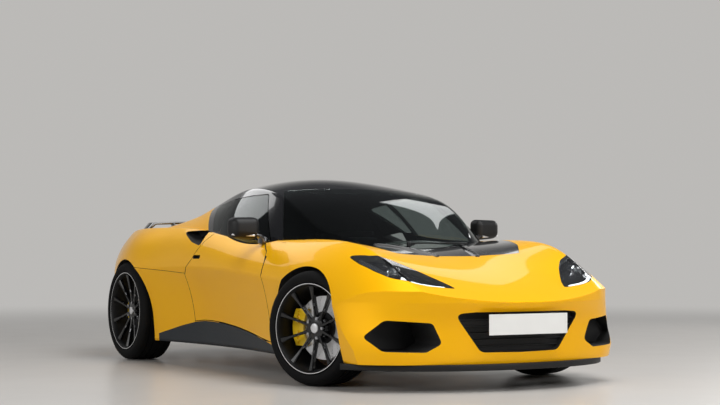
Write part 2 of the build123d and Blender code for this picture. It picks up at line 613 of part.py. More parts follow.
def wheel_pieces(radius, width, rim_radius, rim_half):
    """Tyre, rim and disc about the origin, with the wheel's outer face towards +Y."""
    well_radius = rim_radius - 12
    with BuildPart() as tyre:
        add(tyre_profile(radius, min(width, 2 * rim_half + 12), rim_radius))
        revolve(axis=Axis.Y)
    with BuildPart() as rim:
        with BuildSketch(Plane.XY):
            with BuildLine():
                Polyline((well_radius - 9, -rim_half), (rim_radius, -rim_half), (rim_radius, -rim_half + 5),
                         (well_radius - SEAT_GAP, -rim_half + 11), (well_radius - SEAT_GAP, rim_half - 11),
                         (rim_radius, rim_half - 5), (rim_radius, rim_half), (well_radius - 9, rim_half),
                         close=True)
            make_face()
        revolve(axis=Axis.Y)
        with Locations(Location((0, rim_half - 60, 0), (90, 0, 0))):
            Cylinder(HUB_RADIUS, 44)
        for spoke in range(SPOKE_COUNT):
            with BuildSketch(Plane.XY.rotated((0, spoke * 360 / SPOKE_COUNT, 0)).offset(-SPOKE_WIDTH / 2)):
                with BuildLine():
                    Polyline((40, rim_half - 70), (40, rim_half - 40), (well_radius - 4, rim_half - 6),
                             (well_radius - 4, rim_half - 34), close=True)
                make_face()
            extrude(amount=SPOKE_WIDTH)
        with Locations(Location((0, rim_half - 66, 0), (90, 0, 0))):
            Cylinder(HUB_BORE_RADIUS, 34, mode=Mode.SUBTRACT)
        with Locations(Location((0, rim_half - 38, 0), (90, 0, 0))):
            with PolarLocations(57, 5):
                Cylinder(9, 12)
    with BuildPart() as disc:
        with Locations(Location((0, -22, 0), (90, 0, 0))):
            Cylinder(DISC_RADIUS, DISC_THICKNESS)
        with Locations(Location((0, (rim_half - 82 - 36) / 2, 0), (90, 0, 0))):
            Cylinder(HUB_RADIUS - 4, rim_half - 82 + 36 - 2 * SEAT_GAP)
        with Locations(Location((0, 0, 0), (90, 0, 0))):
            Cylinder(HUB_BORE_RADIUS + 6, 400, mode=Mode.SUBTRACT)
    return tyre.part, rim.part, disc.part


def upright_piece(rim_half, steered):
    """Upright about the wheel's centre: post on the steering axis, spindle through the hub, caliper arm."""
    y = -KINGPIN_INSET
    with BuildPart() as upright:
        with Locations((0, y, -4)):
            Cylinder(24, 296)
        if steered:
            with Locations((0, y, -4)):
                Cylinder(ARM_PIN_RADIUS, 296 + 2 * 34)
        with Locations(Location((0, (y - 40) / 2, 0), (90, 0, 0))):
            Cylinder(46, -40 - y)
        with Locations(Location((0, (y + rim_half - 54) / 2, 0), (90, 0, 0))):
            Cylinder(HUB_BORE_RADIUS - HINGE_CLEARANCE, rim_half - 54 - y)
        with Locations((-80, -56, 0)):
            Box(160, 24, 60)
        with Locations((-165, -56, 0)):
            Box(30, 24, 130)
    return upright.part


def caliper_piece():
    """Caliper about the wheel's centre, over the rear edge of the disc."""
    with BuildPart() as caliper:
        with Locations(Location((0, -22, 0), (90, 0, 0))):
            Cylinder(214, 72)
            Cylinder(132, 100, mode=Mode.SUBTRACT)
        with Locations((-200, -22, 0)):
            Box(200, 200, 210, mode=Mode.INTERSECT)
        with Locations(Location((0, -22, 0), (90, 0, 0))):
            Cylinder(DISC_RADIUS + PANEL_GAP + 1, DISC_THICKNESS + 2 * PANEL_GAP, mode=Mode.SUBTRACT)
        with Locations((-80, -56, 0)):
            Box(160 + 2 * SEAT_GAP, 24 + 2 * SEAT_GAP, 60 + 2 * SEAT_GAP, mode=Mode.SUBTRACT)
        with Locations((-165, -56, 0)):
            Box(30 + 2 * SEAT_GAP, 24 + 2 * SEAT_GAP, 130 + 2 * SEAT_GAP, mode=Mode.SUBTRACT)
    return caliper.part


def wheel_place(side, axle, track, radius, steer):
    """Where a wheel's local frame stands, turned about its steering axis."""
    kingpin = Location((axle, side * (track / 2 - KINGPIN_INSET), 0), (0, 0, steer))
    return kingpin * Location((0, side * KINGPIN_INSET, radius), (0, 0, 0 if side > 0 else 180))


FRONT_WHEEL = (FRONT_AXLE, FRONT_TRACK, FRONT_TYRE_RADIUS, FRONT_TYRE_WIDTH, FRONT_RIM_RADIUS, FRONT_RIM_HALF)
REAR_WHEEL = (REAR_AXLE, REAR_TRACK, REAR_TYRE_RADIUS, REAR_TYRE_WIDTH, REAR_RIM_RADIUS, REAR_RIM_HALF)
CORNERS = [
    # name, side, axle, track, tyre radius, width, rim radius, rim half width, steer
    ("front_right", -1, *FRONT_WHEEL, PARKED_STEER),
    ("front_left", 1, *FRONT_WHEEL, PARKED_STEER),
    ("rear_right", -1, *REAR_WHEEL, 0),
    ("rear_left", 1, *REAR_WHEEL, 0),
]
for corner, side, axle, track, radius, width, rim_radius, rim_half, steer in CORNERS:
    place = wheel_place(side, axle, track, radius, steer)
    pieces = dict(zip(("tyre", "rim", "disc"), wheel_pieces(radius, width, rim_radius, rim_half)))
    if steer:
        upright, caliper = upright_piece(rim_half, True), caliper_piece()
        pieces["upright"] = upright if side > 0 else upright.mirror(Plane.YZ)
        pieces["caliper"] = caliper if side > 0 else caliper.mirror(Plane.YZ)
    for kind, piece in pieces.items():
        placed = piece.moved(place)
        placed.label = f"{kind}_{corner}"
        export_step(placed, f"parts/{kind}_{corner}.step")

with BuildPart() as rear_uprights:
    for _, side, axle, track, radius, _, _, rim_half, _ in CORNERS[2:]:
        place = wheel_place(side, axle, track, radius, 0)
        piece = upright_piece(rim_half, False)
        add((piece if side > 0 else piece.mirror(Plane.YZ)).moved(place))
        wall = REAR_WELL_INNER + SEAT_GAP
        post = track / 2 - KINGPIN_INSET
        for z in (radius - 110, radius + 110):
            with Locations((axle, side * (wall + post) / 2, z)):
                Box(150, post - wall, 24)

with BuildPart() as rear_calipers:
    for _, side, axle, track, radius, _, _, rim_half, _ in CORNERS[2:]:
        place = wheel_place(side, axle, track, radius, 0)
        piece = caliper_piece()
        add((piece if side > 0 else piece.mirror(Plane.YZ)).moved(place))

with BuildPart() as wishbones:
    for side in (1, -1):
        for z in (FRONT_TYRE_RADIUS - 4 - 148 - 18, FRONT_TYRE_RADIUS - 4 + 148 + 18):
            with BuildSketch(Plane.XY.offset(z - 10)):
                with BuildLine():
                    inner = FRONT_WELL_INNER + SEAT_GAP
                    Polyline((FRONT_AXLE - 26, side * KINGPIN_Y), (FRONT_AXLE - 100, side * inner),
                             (FRONT_AXLE + 100, side * inner), (FRONT_AXLE + 26, side * KINGPIN_Y), close=True)
                make_face()
                with Locations((FRONT_AXLE, side * KINGPIN_Y)):
                    Circle(26)
                    Circle(ARM_PIN_RADIUS + HINGE_CLEARANCE, mode=Mode.SUBTRACT)
            extrude(amount=20)

with BuildPart() as tailgate:
    add(carve(rear_form.part & tail_zone, [
        shifted(rear_form.part, z=-TAIL_THICKNESS), plan_prism(TAIL_GLASS_OUTLINE, 700, 1400, grow=SEAT_GAP),
    ]))
    with Locations(*[(x - 19, y, z - 4) for x, y, z in TAIL_HINGES]):
        Box(38, TAIL_NOTCH - 18, 10)
    with Locations(*TAIL_HINGES):
        Cylinder(2 * TAIL_PIN_RADIUS, TAIL_NOTCH - 18, rotation=(90, 0, 0))
        Cylinder(TAIL_PIN_RADIUS + HINGE_CLEARANCE, TAIL_NOTCH, rotation=(90, 0, 0), mode=Mode.SUBTRACT)

with BuildPart() as tailgate_glass:
    add(carve(rear_form.part & plan_prism(TAIL_GLASS_OUTLINE, 700, 1400),
              [shifted(rear_form.part, z=-GLASS_THICKNESS)]))

WING_OUTLINE = [(0, 944), (385, 936), (436, 903), (446, 911), (398, 949), (0, 958)]
WING_PLAN = [(-4160, 0), (-4185, 450), (-4290, 450), (-4338, 0)]
with BuildPart() as rear_wing:
    blade = front_prism(WING_OUTLINE, NOSE_X + WING_PLAN[-1][0], NOSE_X + WING_PLAN[0][0])
    add(blade & plan_prism(WING_PLAN, 800, 1000))
    for y in (-250, 250):
        with Locations((TAIL_REAR_X + 40, y, 905)):
            Box(50, 12, 80)
    add(shifted(rear_form.part, z=SEAT_GAP), mode=Mode.SUBTRACT)

# ---------------------------------------------------------------- files
floor_tub.part.label = "floor_tub"
export_step(floor_tub.part, "parts/floor_tub.step")
nose.part.label = "nose"
export_step(nose.part, "parts/nose.step")
bonnet_panel.part.label = "bonnet_panel"
export_step(bonnet_panel.part, "parts/bonnet_panel.step")
rear_clip.part.label = "rear_clip"
export_step(rear_clip.part, "parts/rear_clip.step")
roof.part.label = "roof"
export_step(roof.part, "parts/roof.step")
windscreen.part.label = "windscreen"
export_step(windscreen.part, "parts/windscreen.step")
quarter_glass.part.label = "quarter_glass"
export_step(quarter_glass.part, "parts/quarter_glass.step")
side_skirts.part.label = "side_skirts"
export_step(side_skirts.part, "parts/side_skirts.step")
splitter.part.label = "splitter"
export_step(splitter.part, "parts/splitter.step")
diffuser.part.label = "diffuser"
export_step(diffuser.part, "parts/diffuser.step")
headlamps.part.label = "headlamps"
export_step(headlamps.part, "parts/headlamps.step")
tail_lamps.part.label = "tail_lamps"
export_step(tail_lamps.part, "parts/tail_lamps.step")
grilles.part.label = "grilles"
export_step(grilles.part, "parts/grilles.step")
number_plates.part.label = "number_plates"
export_step(number_plates.part, "parts/number_plates.step")
exhaust_tip.part.label = "exhaust_tip"
export_step(exhaust_tip.part, "parts/exhaust_tip.step")
wiper.part.label = "wiper"
export_step(wiper.part, "parts/wiper.step")
dashboard.part.label = "dashboard"
export_step(dashboard.part, "parts/dashboard.step")
console.part.label = "console"
export_step(console.part, "parts/console.step")
front_seats.part.label = "front_seats"
export_step(front_seats.part, "parts/front_seats.step")
engine.part.label = "engine"
export_step(engine.part, "parts/engine.step")
rear_uprights.part.label = "rear_uprights"
export_step(rear_uprights.part, "parts/rear_uprights.step")
rear_calipers.part.label = "rear_calipers"
export_step(rear_calipers.part, "parts/rear_calipers.step")
wishbones.part.label = "wishbones"
export_step(wishbones.part, "parts/wishbones.step")
steering_wheel.part.label = "steering_wheel"
export_step(steering_wheel.part, "parts/steering_wheel.step")
tailgate.part.label = "tailgate"
export_step(tailgate.part, "parts/tailgate.step")
tailgate_glass.part.label = "tailgate_glass"
export_step(tailgate_glass.part, "parts/tailgate_glass.step")
rear_wing.part.label = "rear_wing"
export_step(rear_wing.part, "parts/rear_wing.step")
for side_name, half in [("right", right_half), ("left", left_half)]:
    door, door_glass = door_pair.part & half, door_glass_pair.part & half
    door.label = f"door_{side_name}"
    export_step(door, f"parts/door_{side_name}.step")
    door_glass.label = f"door_glass_{side_name}"
    export_step(door_glass, f"parts/door_glass_{side_name}.step")
left_mirror = mirror_left.part + mirror_arm.part
left_mirror.label = "mirror_left"
export_step(left_mirror, "parts/mirror_left.step")
right_mirror = left_mirror.mirror(Plane.XZ)
right_mirror.label = "mirror_right"
export_step(right_mirror, "parts/mirror_right.step")
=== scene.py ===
"""Looks of the two-door coupe: smooth body panels, glass, lamps, wheels, cabin and studio light.

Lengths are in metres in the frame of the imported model: +X forward, +Y left, +Z up, origin on the ground.
Tables hold millimetres, which MM turns into metres.
"""
import math
import bmesh
import bpy
import numpy as np
from mathutils import Matrix, Vector
from mathutils.bvhtree import BVHTree


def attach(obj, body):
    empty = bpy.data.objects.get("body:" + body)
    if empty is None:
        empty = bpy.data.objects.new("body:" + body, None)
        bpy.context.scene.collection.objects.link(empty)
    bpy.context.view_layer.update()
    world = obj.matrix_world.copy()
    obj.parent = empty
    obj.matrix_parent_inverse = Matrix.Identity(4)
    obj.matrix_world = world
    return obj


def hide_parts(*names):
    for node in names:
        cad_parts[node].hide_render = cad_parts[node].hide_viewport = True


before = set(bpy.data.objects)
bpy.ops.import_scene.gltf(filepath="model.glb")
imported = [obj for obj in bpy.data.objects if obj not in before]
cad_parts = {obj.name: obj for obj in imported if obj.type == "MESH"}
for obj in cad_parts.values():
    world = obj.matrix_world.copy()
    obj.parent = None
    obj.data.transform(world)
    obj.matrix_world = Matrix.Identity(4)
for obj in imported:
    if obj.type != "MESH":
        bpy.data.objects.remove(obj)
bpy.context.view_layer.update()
MM = 0.001

# ---------------------------------------------------------------- driving places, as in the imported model
NOSE_X = 2197.5
FRONT_AXLE = 1260.0
REAR_AXLE = -1315.0
DATUM = {"N": NOSE_X, "F": FRONT_AXLE, "R": REAR_AXLE, "T": -NOSE_X}
PARKED_STEER = math.radians(19.3)
ROOF_THICKNESS = 34.0
GLASS_THICKNESS = 6.0

# Body sections. bottom: height of the underside. low: half width there. wide, wide_z: widest point.
# crest, crest_z: top of the wing. mid_z: height on the centreline. tuck, bulge: how the side curves.
BODY_SECTIONS = [
    # datum, offset, bottom, low, wide, wide_z, crest, crest_z, mid_z, tuck, bulge
    ("N", 0, 150, 850, 880, 330, 560, 474, 480, -6, 10),
    ("N", -150, 150, 850, 885, 350, 600, 542, 545, -8, 20),
    ("N", -300, 150, 850, 890, 390, 625, 622, 602, -10, 34),
    ("F", 307, 150, 845, 897, 470, 655, 772, 702, -12, 48),
    ("F", 0, 150, 845, 905, 560, 670, 818, 765, -10, 50),
    ("F", -400, 150, 825, 893, 600, 700, 822, 795, 12, 40),
    ("F", -960, 150, 765, 880, 640, 750, 824, 830, 34, 26),
    ("R", 915, 150, 775, 878, 650, 765, 892, 900, 36, 30),
    ("R", 365, 150, 845, 905, 640, 742, 915, 930, 8, 40),
    ("R", 0, 150, 860, 922, 630, 735, 914, 925, -8, 46),
    ("R", -485, 160, 740, 795, 600, 640, 892, 905, -14, 30),
    ("T", 0, 190, 600, 650, 560, 520, 838, 862, -14, 40),
]
# Plan of the ends at each height: insets of the nose on the centreline, at its shoulder and at its corner,
# and of the tail.
END_SECTIONS = [
    # height, middle, shoulder, corner, tail
    (100, 96, 66, 10, 150),
    (165, 84, 40, -20, 128),
    (225, 84, 30, -34, 108),
    (330, 74, 34, -8, 76),
    (425, 54, 30, 0, 42),
    (474, 2, 2, 0, 28),
    (486, 0, 0, 0, 26),
    (700, 0, 0, 0, 0),
    (1300, 0, 0, 0, 0),
]
NOSE_PLAN = [(0, 0), (42, 330), (150, 600), (290, 752), (640, 910)]
TAIL_PLAN = [(0, 0), (41, 330), (140, 590), (207, 683), (330, 759), (511, 841.5), (697, 921)]
PLAN_HALF_WIDTH = 935.0

# Glasshouse sections. base: half width at BASE_Z. eave, eave_z: top of the side glass. top_z: centreline.
BASE_Z = 740.0
HOUSE_SECTIONS = [
    # datum, offset, base, eave, eave_z, top_z, bulge
    ("F", -170, 560, 300, 782, 806, 6),
    ("F", -420, 700, 520, 880, 936, 10),
    ("F", -700, 785, 580, 1030, 1068, 16),
    ("F", -980, 808, 575, 1122, 1162, 20),
    ("F", -1310, 812, 560, 1152, 1227, 22),
    ("R", 900, 800, 560, 1090, 1198, 22),
    ("R", 500, 790, 580, 985, 1120, 20),
    ("R", 0, 760, 600, 915, 1010, 14),
    ("R", -520, 700, 560, 868, 935, 10),
]

# Outlines seen from the side: X from the front axle and height, with the radius of each corner.
DOOR_REAR = REAR_AXLE + 898.0 - FRONT_AXLE
SKIRT_LINE = [
    (-490, 197), (-700, 229), (-900, 256), (-1100, 279), (-1300, 296), (-1450, 303), (-1560, 303),
    (DOOR_REAR, 293),
]
SKIRT_GAP = 8
DOOR_OUTLINE = [
    (-525, 218, 20), (-525, 430, 300), (-520, 590, 300), (-545, 692, 120), (-600, 750, 60), (-725, 802, 0),
    (-820, 1300, 0), (-1340, 1300, 0), (-1376, 905, 30), (-1478, 790, 60), (-1545, 700, 60),
    (DOOR_REAR, 600, 25), (DOOR_REAR, 301, 0),
] + [(x, z + SKIRT_GAP, 0) for x, z in SKIRT_LINE[-2:0:-1]]
DOOR_GLASS = [
    (-690, 700, 0), (-690, 822, 12), (-1000, 1108, 60), (-1210, 1104, 200), (-1478, 1086, 10),
    (-1360, 866, 0), (-1310, 700, 0),
]
QUARTER_GLASS = [(-1494, 1083, 8), (-1729, 1050, 14), (-1621, 969, 60), (-1499, 885, 60), (-1384, 880, 8)]
SCOOP = [(-1857, 885, 14), (-1497, 893, 18), (-1490, 787, 26), (-1637, 814, 60)]
ROOF_REAR = -1820.0
ROOF_EDGE = [
    (-60, 740, 0), (-60, 1300, 0), (ROOF_REAR, 1300, 0), (ROOF_REAR, 1022, 0), (-1560, 870, 20),
    (-1540, 800, 0),
]
SKIRT = [(-405, 120, 0), (-405, 185, 6)] + [(x, z, 0) for x, z in SKIRT_LINE] + [
    (-1850, 263, 300), (-2135, 200, 6), (-2135, 120, 0),
]
# Outlines seen from above: X from the nose and half width.
WINDSCREEN = [
    (-1872, 0, 0), (-1887, 180, 200), (-1908, 393, 200), (-1912, 492, 40), (-1525, 704, 120), (-1400, 760, 0),
    (-1040, 760, 0), (-1040, 0, 0),
]
BONNET_PANEL = [
    (-730, 0, 0), (-716, 250, 120), (-682, 423, 25), (-860, 540, 300), (-1100, 640, 200), (-1280, 700, 30),
    (-1400, 640, 0), (-1400, 0, 0),
]
HEADLAMP = [
    (-676, 744, 10), (-525, 664, 200), (-482, 574, 120), (-398, 500, 300), (-298, 432, 300), (-232, 392, 200),
    (-172, 366, 10), (-181, 410, 60), (-208, 530, 200), (-238, 604, 120), (-326, 682, 200), (-432, 718, 300),
    (-560, 742, 300),
]
TAIL_PANEL = [(-2767.5, 0, 0), (-2767.5, 452, 40), (-3300, 470, 0), (-4212.5, 460, 60), (-4212.5, 0, 0)]
TAIL_WINDOW = [(-2850, 0, 0), (-2850, 360, 50), (-3330, 400, 50), (-3330, 0, 0)]
# Outlines seen from the front: half width and height.
GRILLE = [(0, 429, 0), (300, 429, 60), (415, 420, 30), (256, 212, 60), (0, 208, 0)]
INTAKE = [(474, 262, 26), (526, 372, 36), (750, 388, 40), (836, 296, 26), (770, 222, 40), (560, 216, 50)]


# ---------------------------------------------------------------- mesh tools
def linked(name, data):
    """A new object in the scene."""
    obj = bpy.data.objects.new(name, data)
    bpy.context.scene.collection.objects.link(obj)
    return obj


def select(*objects):
    """Select these objects alone; the first is the active one."""
    bpy.ops.object.select_all(action="DESELECT")
    for obj in objects:
        obj.select_set(True)
    bpy.context.view_layer.objects.active = objects[0]


def mesh_object(name, points, faces):
    """A new object from points in millimetres."""
    mesh = bpy.data.meshes.new(name)
    mesh.from_pydata([tuple(c * MM for c in p) for p in points], [], faces)
    mesh.validate()
    obj = linked(name, mesh)
    recalculate(obj)
    return obj


def recalculate(obj):
    work = bmesh.new()
    work.from_mesh(obj.data)
    bmesh.ops.recalc_face_normals(work, faces=work.faces)
    work.to_mesh(obj.data)
    work.free()


def loft(name, rings):
    """A closed solid through rings of equal length, with a flat cap at each end."""
    count = len(rings[0])
    points = [p for ring in rings for p in ring]
    faces = []
    for r in range(len(rings) - 1):
        for c in range(count):
            d = (c + 1) % count
            faces.append((r * count + c, r * count + d, (r + 1) * count + d, (r + 1) * count + c))
    faces.append(tuple(range(count))[::-1])
    faces.append(tuple((len(rings) - 1) * count + c for c in range(count)))
    return mesh_object(name, points, faces)


def run(start, end, steps):
    """Points on the straight line between two points, without the last one."""
    (ax, ay), (bx, by) = start, end
    return [(ax + (bx - ax) * i / steps, ay + (by - ay) * i / steps) for i in range(steps)]


CORNER_STEPS = 6


def circle(radius, angles, centre=(0, 0)):
    """Points on a circle at some angles."""
    x, y = centre
    return [(x + radius * math.cos(a), y + radius * math.sin(a)) for a in angles]


def arc(start, middle, end, steps):
    """Points on the circle through three points, without the last one."""
    (ax, ay), (bx, by), (cx, cy) = start, middle, end
    d = 2 * (ax * (by - cy) + bx * (cy - ay) + cx * (ay - by))
    if abs(d) < 1e-6:
        return run(start, end, steps)
    a, b, c = ax ** 2 + ay ** 2, bx ** 2 + by ** 2, cx ** 2 + cy ** 2
    ux = (a * (by - cy) + b * (cy - ay) + c * (ay - by)) / d
    uy = (a * (cx - bx) + b * (ax - cx) + c * (bx - ax)) / d
    radius = math.hypot(ax - ux, ay - uy)
    first = math.atan2(ay - uy, ax - ux)
    half = math.atan2(by - uy, bx - ux)
    last = math.atan2(cy - uy, cx - ux)
    turn = (last - first) % (2 * math.pi)
    if (half - first) % (2 * math.pi) > turn:
        turn -= 2 * math.pi
    return circle(radius, [first + turn * i / steps for i in range(steps)], (ux, uy))


def rounded(corners):
    """An outline whose corners, given as (x, y, radius), are rounded."""
    outline = []
    for i, (x, y, radius) in enumerate(corners):
        before = Vector(corners[i - 1][:2]) - Vector((x, y))
        after = Vector(corners[(i + 1) % len(corners)][:2]) - Vector((x, y))
        if radius <= 0:
            outline.append((x, y))
            continue
        half = before.angle(after) / 2
        reach = min(radius / math.tan(half), 0.45 * before.length, 0.45 * after.length)
        a, b = Vector((x, y)) + before.normalized() * reach, Vector((x, y)) + after.normalized() * reach
        for k in range(CORNER_STEPS + 1):
            t = k / CORNER_STEPS
            p = a.lerp(Vector((x, y)), t).lerp(Vector((x, y)).lerp(b, t), t)
            outline.append((p.x, p.y))
    return outline


def grown(outline, amount):
    """An outline pushed outwards by an amount."""
    area = sum(x0 * y1 - x1 * y0 for (x0, y0), (x1, y1) in zip(outline, outline[1:] + outline[:1]))
    sign = 1 if area > 0 else -1
    result = []
    for i, p in enumerate(outline):
        a, b = Vector(outline[i - 1]), Vector(outline[(i + 1) % len(outline)])
        p = Vector(p)
        first, second = p - a, b - p
        if first.length < 1e-9 or second.length < 1e-9:
            result.append(tuple(p))
            continue
        n1 = Vector((first.y, -first.x)).normalized() * sign
        n2 = Vector((second.y, -second.x)).normalized() * sign
        joint = n1 + n2
        joint = joint / max(joint.length_squared / 2, 0.3)
        result.append(tuple(p + joint * amount))
    return result


def band(points, width):
    """An outline that follows a line at half a width on each side."""
    left, right = [], []
    for i, p in enumerate(points):
        along = (Vector(points[min(i + 1, len(points) - 1)]) - Vector(points[max(i - 1, 0)])).normalized()
        across = Vector((-along.y, along.x)) * width / 2
        left.append(tuple(Vector(p) + across))
        right.append(tuple(Vector(p) - across))
    return left + right[::-1]


PLANES = {
    "side": lambda a, b, depth: (a, depth, b),
    "plan": lambda a, b, depth: (a, b, depth),
    "front": lambda a, b, depth: (depth, a, b),
}


def prism(outline, plane, low, high, sides="one"):
    """Solid with an outline in a plane, between two depths. sides: one, or both for a pair about Y = 0."""
    shape = PLANES[plane]
    rings = [[shape(a, b, depth) for a, b in outline] for depth in (low, high)]
    solid = loft("cut", rings)
    if sides == "both":
        solid = joined([solid, mirrored(solid)])
    return solid


def mirrored(obj):
    copy = duplicate(obj, obj.name)
    copy.data.transform(Matrix.Scale(-1, 4, (0, 1, 0)))
    copy.data.flip_normals()
    return copy


def duplicate(obj, name):
    return linked(name, obj.data.copy())


def joined(objects):
    """Several objects as one; the first keeps its name."""
    work = bmesh.new()
    for obj in objects:
        work.from_mesh(obj.data)
    work.to_mesh(objects[0].data)
    work.free()
    for obj in objects[1:]:
        remove(obj)
    return objects[0]


def remove(*objects):
    for obj in objects:
        mesh = obj.data
        bpy.data.objects.remove(obj)
        if mesh.users == 0:
            bpy.data.meshes.remove(mesh)


def side_outline(corners, grow):
    return grown([(FRONT_AXLE + x, z) for x, z in rounded(corners)], grow)


def plan_outline(corners, grow, whole):
    half = [(NOSE_X + x, y) for x, y in rounded(corners)]
    if whole:
        half += [(x, -y) for x, y in reversed(half) if abs(y) > 1e-6]
    return grown(half, grow)


def front_outline(corners, grow, whole):
    half = rounded(corners)
    if whole:
        half += [(-y, z) for y, z in reversed(half) if abs(y) > 1e-6]
    return grown(half, grow)


def box_solid(x0, x1, y0, y1, z0, z1):
    return prism([(x0, y0), (x1, y0), (x1, y1), (x0, y1)], "plan", z0, z1)


def cylinder(radius, low, high, centre, steps, plane="side"):
    """Cylinder about Y (side), Z (plan) or X (front)."""
    angles = [2 * math.pi * i / steps for i in range(steps)]
    return prism(circle(radius, angles, centre), plane, low, high)


def about(pivot, change):
    """A turn or a scale made about a point."""
    return Matrix.Translation(pivot) @ change @ Matrix.Translation(-pivot)


def moved(obj, x=0.0, y=0.0, z=0.0):
    copy = duplicate(obj, "cut")
    copy.data.transform(Matrix.Translation((x * MM, y * MM, z * MM)))
    return copy


def combine(name, base, keep=(), add=(), less=()):
    """A base cut to some solids, joined with others and less others. Solids named cut are used up."""
    work = duplicate(base, name)
    steps = [("INTERSECT", s) for s in keep] + [("UNION", s) for s in add] + [("DIFFERENCE", s) for s in less]
    for operation, solid in steps:
        modifier = work.modifiers.new("cut", "BOOLEAN")
        modifier.operation, modifier.solver, modifier.object = operation, "MANIFOLD", solid
    graph = bpy.context.evaluated_depsgraph_get()
    mesh = bpy.data.meshes.new_from_object(work.evaluated_get(graph))
    old = work.data
    work.modifiers.clear()
    work.data = mesh
    bpy.data.meshes.remove(old)
    mesh.name = name
    for _, solid in steps:
        if solid.name.startswith("cut"):
            remove(solid)
    return work


def spline(stations, values, at):
    """Natural cubic spline through values at stations, read at other places."""
    x, y = np.array(stations, float), np.array(values, float)
    n = len(x)
    h = np.diff(x)
    left = np.zeros((n, n))
    right = np.zeros(n)
    left[0, 0] = left[-1, -1] = 1
    for i in range(1, n - 1):
        left[i, i - 1], left[i, i], left[i, i + 1] = h[i - 1], 2 * (h[i - 1] + h[i]), h[i]
        right[i] = 6 * ((y[i + 1] - y[i]) / h[i] - (y[i] - y[i - 1]) / h[i - 1])
    m = np.linalg.solve(left, right)
    at = np.array(at, float)
    k = np.clip(np.searchsorted(x, at) - 1, 0, n - 2)
    t, u = at - x[k], x[k + 1] - at
    return (m[k] * u ** 3 + m[k + 1] * t ** 3) / (6 * h[k]) + (y[k] / h[k] - m[k] * h[k] / 6) * u \
        + (y[k + 1] / h[k] - m[k + 1] * h[k] / 6) * t


def skin(name, stations, rings, step):
    """A smooth closed solid through rings that stand at stations along one direction."""
    order = np.argsort(stations)
    stations = [stations[i] for i in order]
    rings = np.array([rings[i] for i in order], float)
    places = np.linspace(stations[0], stations[-1], int((stations[-1] - stations[0]) / step) + 1)
    count = rings.shape[1]
    dense = [np.stack([spline(stations, rings[:, c, k], places) for c in range(count)], axis=1)
             for k in range(3)]
    return loft(name, [[tuple(p) for p in ring] for ring in np.stack(dense, axis=2)])


# ---------------------------------------------------------------- outer forms
def section(x, half, corner, top):
    """A cross-section: one side up to a corner, then a crown to the centreline, and all of it mirrored."""
    half += arc(corner, (0, top), (-corner[0], corner[1]), 48)[:25]
    half[-1] = (0, top)
    ring = half + [(-y, z) for y, z in reversed(half[1:-1])]
    return x, [(x, y, z) for y, z in ring]


def body_ring(row):
    datum, offset, bottom, low, wide, wide_z, crest, crest_z, mid_z, tuck, bulge = row
    shoulder = ((wide + crest) / 2 + 0.6 * bulge, (wide_z + crest_z) / 2 + 0.6 * bulge)
    half = run((0, bottom), (low, bottom), 8)
    half += arc((low, bottom), ((low + wide) / 2 - tuck, (bottom + wide_z) / 2), (wide, wide_z), 24)
    half += arc((wide, wide_z), shoulder, (crest, crest_z), 26)
    return section(DATUM[datum] + offset, half, (crest, crest_z), mid_z)


def house_ring(row, inset):
    datum, offset, base, eave, eave_z, top_z, bulge = row
    base, eave, eave_z, top_z = base - inset, eave - inset * 0.5, eave_z - inset, top_z - inset
    half = run((0, BASE_Z), (base, BASE_Z), 4)
    half += arc((base, BASE_Z), ((base + eave) / 2 + bulge, (BASE_Z + eave_z) / 2), (eave, eave_z), 24)
    return section(DATUM[datum] + offset, half, (eave, eave_z), top_z)


def end_ring(row):
    height, middle, shoulder, corner, tail = row
    insets = [middle, (2 * middle + shoulder) / 3, shoulder, corner, 0]
    nose = [(NOSE_X - x - i, y) for (x, y), i in zip(NOSE_PLAN, insets)]
    tail_points = [(-NOSE_X + tail + x, y) for x, y in TAIL_PLAN]
    half = arc(nose[0], nose[1], nose[2], 30) + arc(nose[2], nose[3], nose[4], 24)
    front, rear = (FRONT_AXLE, PLAN_HALF_WIDTH), (REAR_AXLE, PLAN_HALF_WIDTH)
    half += run(nose[4], front, 4) + run(front, rear, 10) + run(rear, tail_points[6], 4)
    for last in (6, 4, 2):
        half += arc(tail_points[last], tail_points[last - 1], tail_points[last - 2], 24)
    half.append(tail_points[0])
    ring = half + [(x, -y) for x, y in reversed(half[1:-1])]
    return height, [(x, y, height) for x, y in ring]


def house(name, inset):
    stations, rings = zip(*[house_ring(row, inset) for row in HOUSE_SECTIONS])
    return skin(name, list(stations), list(rings), 24)


stations, rings = zip(*[body_ring(row) for row in BODY_SECTIONS])
sides = skin("sides", list(stations), list(rings), 20)
ends = loft("ends", [end_ring(row)[1] for row in END_SECTIONS])
body = combine("body_form", sides, keep=[ends])
outer_house = house("outer_house", 0)
inner_house = house("inner_house", ROOF_THICKNESS)
glass_house = house("glass_house", GLASS_THICKNESS)


# ---------------------------------------------------------------- panels
SKIN_REACH, SKIN_FACING = 3 * MM, 0.94


